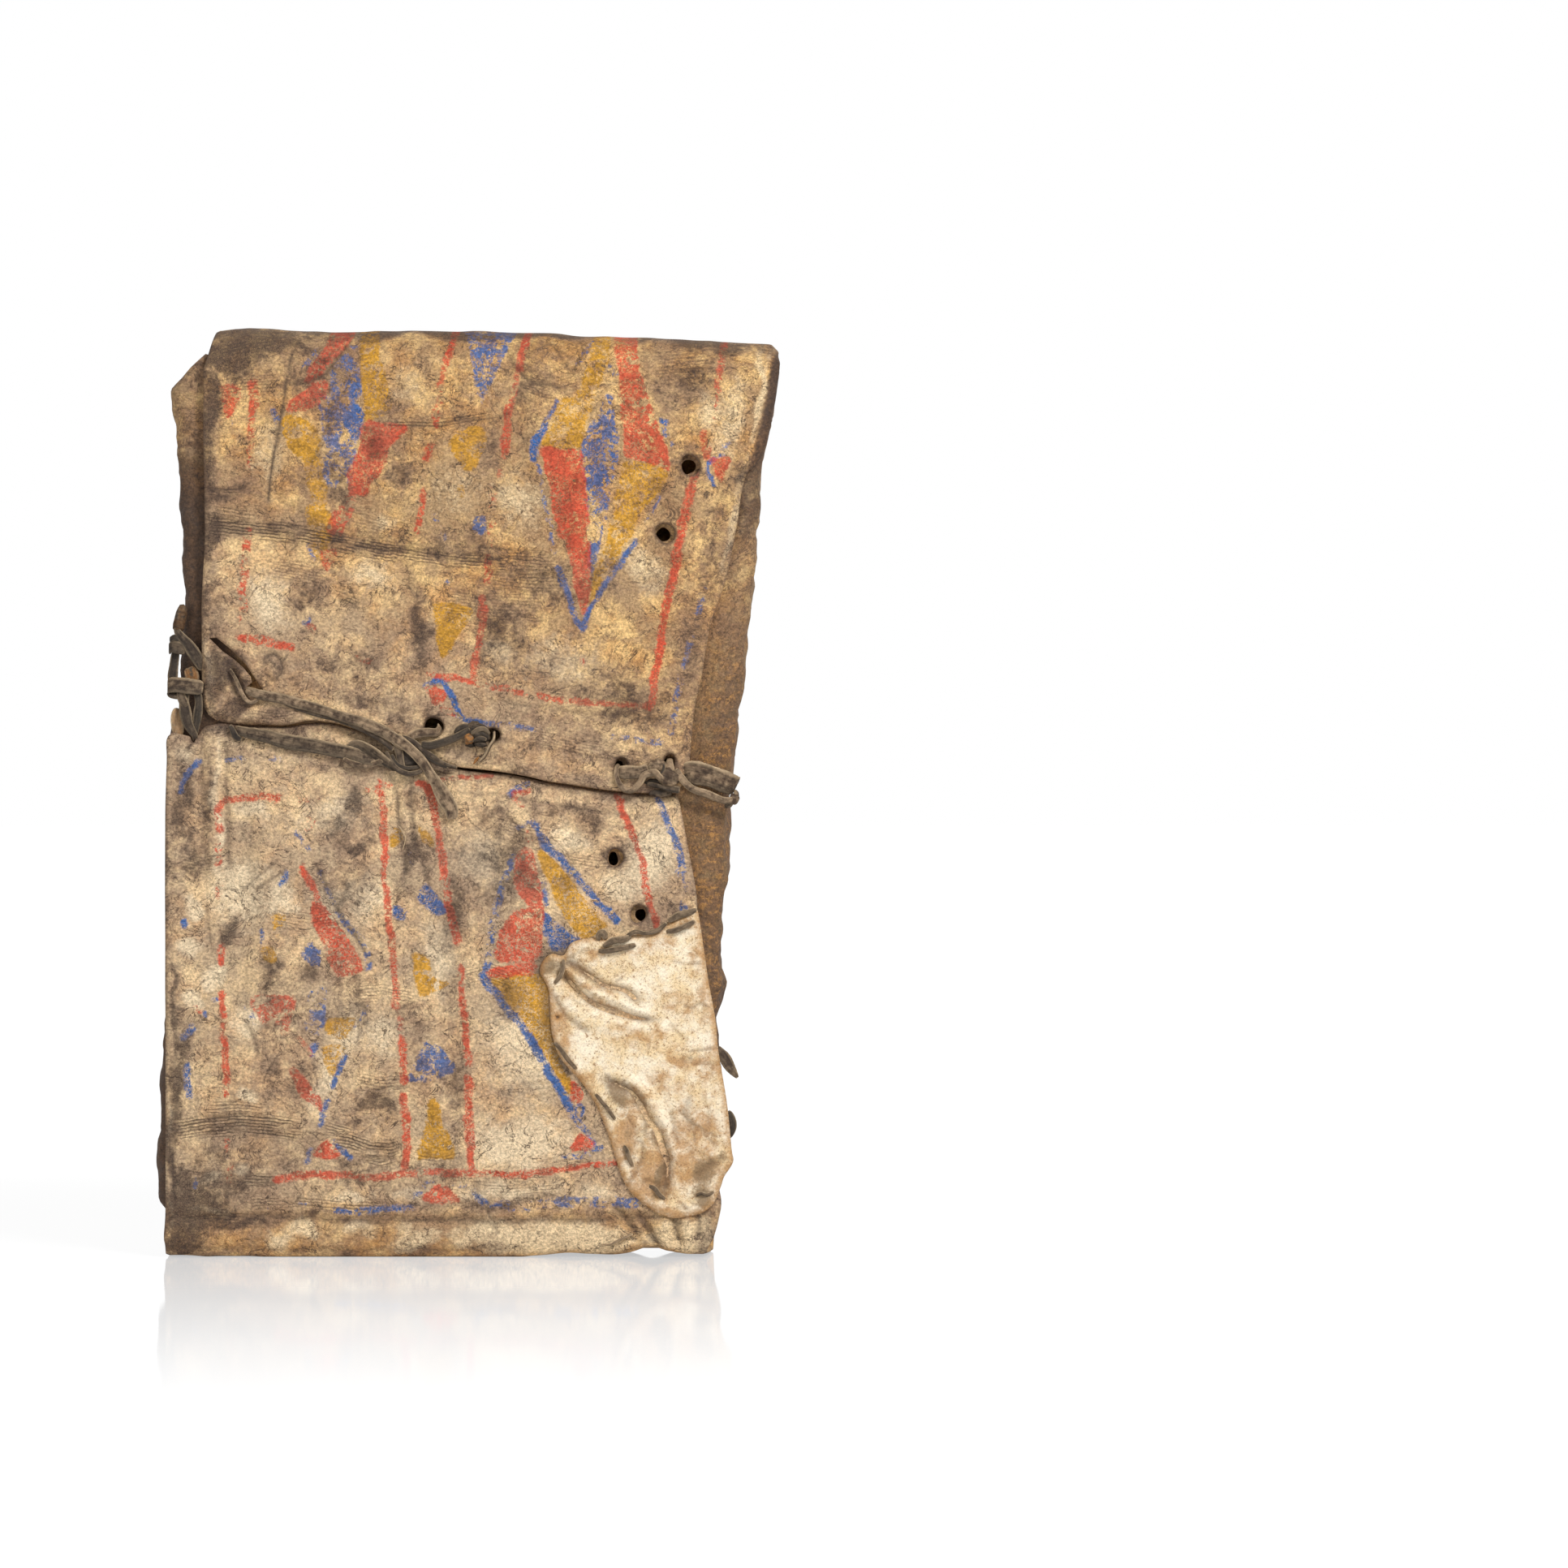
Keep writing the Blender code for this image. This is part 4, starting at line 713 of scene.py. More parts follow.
class Value:
    """What a material's node gives out, to be reckoned with like a number."""

    def __init__(self, shader, socket):
        self.shader, self.socket = shader, socket

    def __add__(self, other):
        return self.shader.maths("ADD", self, other)

    def __sub__(self, other):
        return self.shader.maths("SUBTRACT", self, other)

    def __rsub__(self, other):
        return self.shader.maths("SUBTRACT", other, self)

    def __mul__(self, other):
        return self.shader.maths("MULTIPLY", self, other)


class Shader:
    """A material under construction, with short names for the nodes it's made of."""

    def __init__(self, name):
        self.material = bpy.data.materials.new(name)
        self.material.use_nodes = True
        self.tree = self.material.node_tree
        self.tree.nodes.clear()
        self.out = self.tree.nodes.new("ShaderNodeOutputMaterial")

    def node(self, kind, inputs, **settings):
        """A new node, its inputs set to values or linked to what other nodes give out."""
        made = self.tree.nodes.new(kind)
        for name, value in settings.items():
            setattr(made, name, value)
        for name, value in inputs.items():
            if isinstance(value, Value):
                self.tree.links.new(value.socket, made.inputs[name])
            else:
                made.inputs[name].default_value = value
        return made

    def value(self, kind, inputs, output=0, **settings):
        """What a new node gives out."""
        return Value(self, self.node(kind, inputs, **settings).outputs[output])

    def maths(self, operation, a, b=0.0):
        return self.value("ShaderNodeMath", {0: a, 1: b}, operation=operation)

    def step(self, value, low, high, start=0.0, end=1.0):
        """Goes softly from start to end while the value goes from low to high."""
        return self.value("ShaderNodeMapRange", {"Value": value, "From Min": low, "From Max": high,
                                                 "To Min": start, "To Max": end},
                          interpolation_type="SMOOTHSTEP")

    def mix(self, share, a, b):
        """Colour a, with a share of colour b over it."""
        return self.value("ShaderNodeMix", {0: share, 6: a, 7: b}, 2, data_type="RGBA")

    def scaled(self, vector, factor):
        return self.value("ShaderNodeVectorMath", {0: vector, 3: factor}, operation="SCALE")

    def moved(self, place, scale, offset=(0, 0, 0)):
        return self.value("ShaderNodeMapping", {"Vector": place, "Scale": scale, "Location": offset})

    def noise(self, place, size, detail=2.0, rough=0.5, twist=0.0):
        return self.value("ShaderNodeTexNoise", {"Vector": place, "Scale": 1 / size, "Detail": detail,
                                                 "Roughness": rough, "Distortion": twist})

    def vein(self, place, size, detail, rough, twist):
        """0 along thin winding lines, and more away from them."""
        return self.maths("ABSOLUTE", self.noise(place, size, detail, rough, twist) - 0.5)

    def stored(self, name):
        """The three numbers that a mesh keeps under a name: as one vector, and one by one."""
        vector = self.value("ShaderNodeAttribute", {}, "Vector", attribute_name=name)
        parts = self.node("ShaderNodeSeparateXYZ", {0: vector}).outputs
        return vector, [Value(self, part) for part in parts]

    def surface(self, shown):
        """The material, with this value as its surface."""
        self.tree.links.new(shown.socket, self.out.inputs[0])
        return self.material

    def finish(self, base, rough, height, depth, strength, gloss):
        """The material as a surface with relief."""
        bump = self.value("ShaderNodeBump", {"Height": height, "Distance": depth * MM,
                                             "Strength": strength})
        return self.surface(self.value("ShaderNodeBsdfPrincipled", {
            "Base Color": base, "Roughness": rough, "Normal": bump, "Specular IOR Level": gloss}))


def hide_material(settings):
    """Old rawhide: mottled, veined, grimy and painted by hand."""
    s = Shader("painted_rawhide")
    place = s.stored("place")[0]
    paint, cover, wear_and_shading, fold, wrinkle = (s.stored(name)[1] for name in ("paint", "cover", "wear_and_shading", "fold",
                                                                        "wrinkle"))
    shift = s.value("ShaderNodeTexNoise", {"Vector": place, "Scale": 1 / 12, "Detail": 3.0}, 1)
    bent = s.value("ShaderNodeVectorMath", {0: place, 1: s.scaled(shift, 9)}, operation="ADD")
    apart = s.moved(place, (1, 1, 1), (310, 70, 5))
    broad, middle, small = (s.noise(place, 60, 3), s.noise(place, 20, 5, 0.6), s.noise(place, 6, 5, 0.62))
    grain, fleck = (s.noise(place, 0.8, 2, 0.6), s.noise(bent, 2.8, 5, 0.66, 0.6))
    pebble = s.noise(s.moved(apart, (1, 1, 1), (3, 9, 1)), 2, 3, 0.6, 0.4)
    fibre = s.noise(s.moved(bent, (0.4, 1, 1)), 1.4, 3, 0.6)
    worm = s.vein(bent, 2.4, 2, 0.5, 1)
    worm = s.step(worm, 0.01, 0.07, 1, 0)
    crack = s.vein(apart, 15, 6, 0.62, 0.8)
    crack = s.step(crack, 0.002, 0.016, 1, 0) * s.step(middle, 0.38, 0.58, 0.3, 0.95)
    craze = s.vein(bent, 5.5, 4, 0.6, 0.5)
    craze = s.step(craze, 0, 0.02, 1, 0) * s.step(broad, 0.4, 0.6, 0.15, 0.8)
    craze *= wrinkle[2]
    # The hide's own mottling
    tone = broad * 0.35 + middle * 0.4
    tone += small * 0.25
    base = s.mix(s.step(tone, 0.42, 0.6), settings.light, settings.tan)
    base = s.mix(wear_and_shading[2] * s.step(middle, 0.3, 0.6), base, settings.warm)
    stipple = s.step(grain, 0.3, 0.62, 0.72, 1)
    cloud = s.step(s.noise(apart, 46, 6, 0.64, 0.4), 0.42, 0.6, 0, 0.72)
    cloud = s.maths("MAXIMUM", cloud, s.step(s.noise(apart, 14, 6, 0.66, 0.4), 0.46, 0.62, 0, 0.6))
    base = s.mix(cloud * stipple, base, settings.grey)
    # Pale scraped hide, with painted highlights on ridges and on the curl's rim
    bare = wear_and_shading[1] + (small - 0.5) * 1.2
    base = s.mix(s.step(bare, 0.16, 0.8, 0, 0.78), base, settings.pale)
    base = s.mix(s.step(wrinkle[2], 0.3, 0.7, 0.16, 0), base, settings.pale)
    base = s.mix(s.step(grain, 0.52, 0.74, 0, 0.34), base, settings.brown)
    base = s.mix(s.step(fleck, 0.56, 0.72, 0, 0.5), base, settings.brown)
    base = s.mix(worm * (s.step(small, 0.42, 0.62, 0.12, 0.62) * wrinkle[2]), base, settings.brown)
    base = s.value("ShaderNodeHueSaturation", {"Saturation": s.step(wrinkle[2], 0.3, 0.9, 0.9, 1.04),
                                               "Color": base})
    # Paint, in thin uneven coats that have cracked and flaked
    ragged = (small - 0.5) * 4.0 + (fleck - 0.5) * 5.0
    flaked = s.noise(apart, 9, 4, 0.6) * 0.52 + fleck * 0.48
    marks = worm * s.step(s.noise(apart, 16, 3, 0.6), 0.42, 0.56, 0.1, 0.85)
    covered = None
    for number, shade in ((1, settings.ochre), (2, settings.blue), (0, settings.red)):
        share = s.step(paint[number] + ragged, -0.9, 1)
        limit = 0.655 - cover[number] * 0.275
        coat = s.step(flaked - limit, -0.03, 0.03)
        share = share * coat * s.step(cover[number], 0, 1, 0.7, 0.95)
        share *= 1.0 - marks
        uneven = s.mix(s.step(grain * 0.4 + middle * 0.6, 0.44, 0.62, 0, 0.32 if number == 2 else 0.42),
                       shade, settings.dark)
        base = s.mix(share, base, uneven)
        covered = share if covered is None else s.maths("MAXIMUM", covered, share)
    bare = 1.0 - covered * 0.8
    base = s.mix(crack * bare, base, settings.dark)
    base = s.mix(craze * bare, base, settings.brown)
    # Grime with painted shade among it, painted shade and grime in creases, and worn edges lie over the
    # paint
    grime = wear_and_shading[0] + (middle - 0.5) * 1.0
    grime += (small - 0.5) * 0.8
    grime += (fleck - 0.5) * 0.6
    grime = s.step(grime, 0.1, 0.9) * s.step(wear_and_shading[0], 0, 0.3)
    deep = s.mix(s.step(grime, 0.36, 0.92, 0.08, 1) * stipple, settings.grey, settings.dark)
    grime = grime * stipple * (0.95 - covered * 0.45)
    base = s.mix(grime, base, deep)
    speck = s.step(fleck, 0.6, 0.68) * s.step(wear_and_shading[0], 0.3, 0.75, 0, 0.8)
    base = s.mix(speck * s.step(wrinkle[2], 0.3, 1, 0.3, 1), base, settings.dark)
    streak = s.noise(s.moved(bent, (0.45, 1, 1)), 3.4, 6, 0.7)
    wall = s.mix(s.step(middle * 0.5 + small * 0.5, 0.38, 0.62), settings.wall, settings.brown)
    gold = s.step(streak, 0.49, 0.59) * s.step(middle, 0.4, 0.58, 0.25, 1)
    wall = s.mix(gold * s.step(wear_and_shading[2], 0.2, 1, 0.1, 0.8), wall, settings.warm)
    wall = s.mix(s.step(fleck, 0.5, 0.64, 0, 0.75), wall, settings.dark)
    base = s.mix(fold[2], base, wall)
    # Fine parallel wrinkles, drawn across each bundle as grooves, darkened by painted shade and grime
    waves = wrinkle[1] * 2.9 + (small - 0.5) * 9.0
    waves = s.step(s.maths("SINE", waves), 0.1, 0.9)
    waves *= s.step(s.noise(s.moved(apart, (0.25, 1, 1)), 5, 2), 0.36, 0.5, 0.1, 1)
    waves *= wrinkle[0]
    base = s.mix(waves * 0.85, base, settings.dark)
    # Painted shade and grime in the creases; painted shade under the curl, along the seams, beside the
    # patch and on the left wall; darker round the holes
    base = s.mix(fold[0] * s.step(grain, 0.25, 0.5, 0.7, 1), base, settings.dark)
    base = s.mix(fold[1] * s.step(fleck, 0.35, 0.6, 0.3, 0.8), base, settings.grey)
    fine = s.step(grain, 0.3, 0.7, 0.8, 1.18) * s.step(fibre, 0.32, 0.66, 0.85, 1.12)
    fine *= s.step(pebble, 0.38, 0.6, 0.76, 1.15)
    base = s.scaled(base, fine)
    height = small * 0.9 + grain * 0.25
    height += pebble * 0.7
    height += fibre * 0.4
    height -= (craze + crack) * 0.2
    height -= waves * 0.45
    rough = s.step(middle, 0.3, 0.7, 0.62, 0.76) + covered * 0.1
    return s.finish(base, rough, height, 0.9, 0.9, 0.35)


def inner_material(settings):
    """The hide's unpainted inner side and its cut edge."""
    s = Shader("raw_inner_hide")
    place = s.stored("place")[0]
    broad, middle, small = (s.noise(place, 110, 5, 0.6), s.noise(place, 30, 6, 0.66, 0.5),
                            s.noise(place, 7, 5, 0.66))
    grain, fibre = (s.noise(place, 1.1, 3, 0.6), s.noise(s.moved(place, (0.28, 1, 1)), 2.6, 4, 0.66, 0.4))
    base = s.mix(s.step(broad * 0.6 + small * 0.4, 0.4, 0.62), settings.light, settings.tan)
    base = s.mix(s.step(middle, 0.44, 0.64, 0, 0.7), base, settings.grey)
    base = s.mix(s.step(middle * 0.4 + fibre * 0.6, 0.52, 0.66, 0, 0.65), base, settings.brown)
    vein = s.vein(s.moved(place, (1, 1, 1), (90, 40, 7)), 46, 5, 0.6, 0.7)
    base = s.mix(s.step(vein, 0, 0.014, 1, 0) * s.step(broad, 0.4, 0.6, 0.1, 0.7), base, settings.brown)
    shade = s.step(grain, 0.3, 0.7, 0.74, 0.98) * s.step(fibre, 0.3, 0.7, 0.86, 1.04)
    base = s.scaled(base, shade)
    height = small * 0.8 + grain * 0.3
    height += fibre * 0.5
    return s.finish(base, s.step(small, 0.3, 0.7, 0.68, 0.84), height, 0.9, 0.9, 0.3)


# ---- Building the hides

def made_object(name, points, faces, *materials):
    """A smooth mesh object from points in millimetres."""
    mesh = bpy.data.meshes.new(name)
    faces = faces.tolist() if isinstance(faces, np.ndarray) else faces
    mesh.from_pydata((np.asarray(points) * MM).tolist(), [], faces)
    mesh.update()
    for material in materials:
        mesh.materials.append(material)
    mesh.shade_smooth()
    thing = bpy.data.objects.new(name, mesh)
    bpy.context.scene.collection.objects.link(thing)
    return thing


def store(thing, name, *values):
    """Keeps three numbers for every point of a mesh, for its material."""
    count = len(thing.data.vertices)
    data = np.column_stack([np.broadcast_to(v, count) for v in values]).astype(np.float32)
    thing.data.attributes.new(name, "FLOAT_VECTOR", "POINT").data.foreach_set("vector", data.ravel())


def hide_object(name, faces, places, thickness, materials, marks):
    """A hide with real thickness, its outer side painted and its inner side raw."""
    thing = made_object(name, places, faces, *materials)
    for key, values in marks.items():
        store(thing, key, *values)
    solid = thing.modifiers.new("thickness", "SOLIDIFY")
    solid.thickness, solid.offset = thickness * MM, -1.0
    solid.material_offset, solid.material_offset_rim = 1, 1
    return thing


def build_upper_hide(settings, look):
    """The top fold and the upper end flap in one hide, painted."""
    spacing = settings.spacing * 1000
    tops = columns(TOP_LINE)

    def on_fold(x, z):
        rise = float(np.interp(x, *tops)) - UPPER_CREASE
        share = min(1.0, max(0.0, (z - UPPER_CREASE) / rise))
        return UPPER_CREASE + math.asin(share) / math.pi * FOLD_LENGTH

    heights = [550, 562, 575, 588, 600, 610, 620, 634, 650, FLAT_TOP]
    reach = [16, 18, 18.5, 18, 14, 8, 4, 0.5, -4, -8]
    ridge = columns(CURL_RIDGE, by_height=True)
    right = UPPER_RIGHT + TEAR + [(np.interp(h, *ridge) + w, h) for h, w in zip(heights, reach)]
    left = [(-186, FLAT_TOP), (-184, 660), (-181, 625)] + UPPER_LEFT[::-1]
    top = [right[-1], (0, FLAT_TOP), left[0]]
    outline = np.vstack([curved(UPPER_SEAM, spacing)[:-1], curved(right, spacing),
                         curved(top, spacing)[1:-1], curved(left, spacing)])
    openings = [hole_ring(x, z, radius, k) for k, (x, z, radius) in enumerate(UPPER_HOLES)]
    openings.append(np.array(DOG_EAR, dtype=float))
    lines = [np.array([(x, on_fold(x, z) if z > UPPER_CREASE else z) for x, z in line])
             for line in guides(UPPER_CREASES, UPPER_RED + UPPER_OCHRE + UPPER_BLUE, spacing)]
    flat, faces, edge = cut_hide(outline, openings, lines, spacing)
    x, h = flat.T
    places, outward, seen = fold_upper(x, h)
    lift, dark = pressed(x, seen, UPPER_CREASES, 11, settings.unevenness)
    # Flat inside the back, thinner at the edges, raised round the holes and over the tie's strap
    lift *= fading(h, 640, FLAT_TOP)
    lift -= 1.1 * fading(edge, 0, 2.6)
    lift, dark = rimmed(x, seen, UPPER_HOLES, lift, dark)
    seam = np.interp(x, *columns(UPPER_SEAM))
    lift += 1.6 * fading(seen - seam, 0, 26) * smoothstep(x, -140, -90) * fading(x, -20, 10)
    places = places + outward * lift[:, None]
    paint, cover = coats(x, seen, (UPPER_RED, UPPER_OCHRE, UPPER_BLUE), 20)
    # Where the right edge curls round: a painted highlight along the rim, then the brown unpainted side,
    # darkened more by painted shade towards the top
    back = smoothstep(h, 636, 656)
    beyond = x - np.interp(h, *ridge)
    rim = 0.45 * peak(beyond, -1.6, 2.0) * smoothstep(h, 430, 520) * (1 - back)
    under = smoothstep(beyond, 0.6, 2.4) * smoothstep(h, 528, 540) * (1 - back)
    dark = np.maximum(dark, under * (0.45 + 0.35 * smoothstep(h, 560, 600)))
    marks = {
        "place": (x, h, 0),
        "paint": [np.where(h > 655, -12, depth) for depth in paint],
        "cover": cover,
        "wear_and_shading": (np.maximum.reduce([patched(x, seen, UPPER_GRIME_AND_SHADE, 31), 0.3 * back,
                                    soiled(x, seen, edge, 37)]),
                 np.maximum(patched(x, seen, UPPER_PALE_AND_HIGHLIGHT, 33), rim),
                 patched(x, seen, UPPER_TAN, 35)),
        "wrinkle": bundled(x, seen, UPPER_WRINKLES, 0.45 + 0.55 * smoothstep(seen + 0.5 * x, 360, 520)),
        "fold": (dark, 0.6 * fading(edge, 0.3, 2.2), under),
    }
    thing = hide_object("upper_hide", faces, places, settings.thickness * 1000, look, marks)
    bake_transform(thing)
    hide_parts("top_fold", "upper_end_flap")


def build_lower_hide(settings, look):
    """The bottom fold and the lower end flap in one hide, painted."""
    spacing = settings.spacing * 1080  # in millimetres, 8% coarser than the upper hide
    length = 2 * (LOWER_CREASE - BASE_RADIUS) + math.pi * BASE_RADIUS + BACK - FRONT - 2 * BASE_RADIUS
    under = LOWER_CREASE - length
    right = [LOWER_SEAM[-1]] + LOWER_RIGHT + [(167, 14), (162, -1), (165, -40), (167, under)]
    left = [(-206, under), (-206, -40), (-205, 3)] + LOWER_LEFT[::-1] + [LOWER_SEAM[0]]
    bottom = [(167, under), (0, under), (-203, under)]
    outline = np.vstack([curved(LOWER_SEAM, spacing)[:-1], curved(right, spacing),
                         curved(bottom, spacing)[1:-1], curved(left, spacing)[:-1]])
    openings = [hole_ring(x, z, radius, k + 9) for k, (x, z, radius) in enumerate(LOWER_HOLES)]
    lines = guides(LOWER_CREASES, LOWER_RED + LOWER_OCHRE + LOWER_BLUE, spacing)
    flat, faces, edge = cut_hide(outline, openings, lines, spacing)
    x, h = flat.T
    places, outward = fold_lower(x, h)
    lift, dark = pressed(x, h, LOWER_CREASES, 41, settings.unevenness)
    # Flat under the case, thinner at the edges, raised round the holes and pressed in at the seam
    lift *= smoothstep(h, under, under + 50)
    lift = np.where(h < 8, np.minimum(lift, 0) * smoothstep(-h, 60, 0), lift)
    lift -= 1.1 * fading(edge, 0, 2.6)
    lift, dark = rimmed(x, h, LOWER_HOLES, lift, dark)
    seam = np.interp(x, *columns(LOWER_SEAM)) - h
    lift -= 2.6 * fading(seam, 0, 20) * smoothstep(x, -185, -150)
    # Painted shade where the lower flap is pressed in under the seam, at the left
    dark = np.maximum(dark, 0.5 * fading(seam, 1, 9) * smoothstep(x, -185, -150))
    # Shade along the patch's left edge and under the upper flap's edge
    ring = curved(PATCH_EDGE, 4.0, closed=True)
    near = close_to(ring, x, h, 14)
    near = near[x[near] < 70]
    dark[near] = np.maximum(dark[near], 0.62 * fading(to_line(ring, x[near], h[near])[0], 1, 10))
    below = np.interp(x, *columns(UPPER_SEAM)) - h
    dark = np.maximum(dark, 0.75 * fading(below, 1, 7) * (below > -8))
    places = places + outward * lift[:, None]
    places[:, 2] += 4.6 * peak(x, 124, 11) * fading(h, 0, 26)  # a small arch in the bottom edge
    paint, cover = coats(x, h, (LOWER_RED, LOWER_OCHRE, LOWER_BLUE), 50)
    marks = {
        "place": (x, h + 1351, 0),
        "paint": paint,
        "cover": cover,
        "wear_and_shading": (np.maximum.reduce([patched(x, h, LOWER_GRIME_AND_SHADE, 61), 0.5 * fading(h, -60, 10),
                                    soiled(x, h, edge, 67)]),
                 patched(x, h, LOWER_PALE_AND_HIGHLIGHT, 63), patched(x, h, LOWER_TAN, 65)),
        "wrinkle": bundled(x, h, LOWER_WRINKLES, 0.3 + 0.34 * fading(h, 24, 50)),
        "fold": (dark, 0.8 * fading(edge, 0.3, 2.2), 0),
    }
    thing = hide_object("lower_hide", faces, places, settings.thickness * 1000, look, marks)
    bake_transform(thing)
    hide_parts("bottom_fold", "lower_end_flap")


def build_wrap(settings, look):
    """The back, the two walls and the inner side flaps in one hide."""
    spacing = settings.spacing * 1750  # in millimetres, coarse enough for plain panels
    bottom = [(x, LOWER_CREASE if abs(x) < HALF_BACK else WALL_FOOT)
              for x in (-405, -300, -196, -189, 0, 189, 196, 300, 405)]
    corners = bottom + WALL_TOPS[::-1]
    outline = np.vstack([curved([a, ((a[0] + b[0]) / 2, (a[1] + b[1]) / 2), b], spacing)[:-1]
                         for a, b in zip(corners, corners[1:] + corners[:1])])
    # The inner flap's own holes, a little off those of the flaps in front of it
    openings = []
    for x, z, radius in UPPER_HOLES + LOWER_HOLES:
        if x > RIGHT_FREE_EDGE + 8:
            reach = np.interp(z, *columns(WALL_RIGHT, by_height=True)) - WALL_CORNER
            p = HALF_BACK + math.pi * WALL_CORNER + BACK - SIDE_FRONT - 2 * WALL_CORNER
            p += (reach - x) / (reach - RIGHT_FREE_EDGE) * INNER_FLAP
            p += 1.8 if z > LOWER_CREASE + 240 else -1.6
            openings.append(hole_ring(p, z - 0.8, 0.8 * radius, 70 + len(openings)))
    flat, faces, edge = cut_hide(outline, openings, [], spacing)
    p, h = flat.T
    places, outward = fold_wrap(p, h)
    far = np.abs(p)
    lift = pressed(p, h, [], 81, settings.unevenness)[0]
    # Smooth at the top and bottom, flatter on the inner flaps and wavy on the walls
    lift *= smoothstep(h, 26, 60) * fading(h, 570, 602) * np.where(far > 262, 0.5, 1)
    wall = smoothstep(far, 196, 206) * fading(far, 262, 285)
    lift += wall * (1.2 * wander(h, far, 16, 83) + 0.7 * wander(h, far, 6, 85)) * smoothstep(h, 30, 60)
    # Painted shade on the left wall below its top, where the upper flap's edge shades it
    dark = 0.62 * (p < 0) * smoothstep(far, 204, 226) * fading(far, 276, 292) * smoothstep(534 - h, 0, 20)
    tanned = np.where(p > 0, 0.14 + 0.46 * smoothstep(h, 340, 480), 0.7 * smoothstep(h, 528, 552))
    places = places + outward * lift[:, None]
    marks = {
        "place": (p, 1294 - h, 0),
        "paint": (-12, -12, -12),
        "cover": (0, 0, 0),
        "wear_and_shading": (0.5 * smoothstep(wander(p, h, 60, 87), -0.3, 0.9) + 0.35 * wall, 0,
                 np.where(wall > 0.5, (p > 0) * (0.34 + 0.5 * smoothstep(480 - h, 0, 120)), 0.5)),
        "wrinkle": (0, 0, 0.7),
        "fold": (dark, 0.8 * fading(edge, 0.3, 3),
                 smoothstep(far, 196, 206) * (0.92 - tanned) * (1 - 0.6 * smoothstep(far, 282, 300))),
    }
    thing = hide_object("case_wrap", faces[:, ::-1], places, settings.thickness * 1000, look, marks)
    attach(thing, "root")
    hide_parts("back_panel", "left_side_flap", "right_side_flap")


# ---- Leather ties

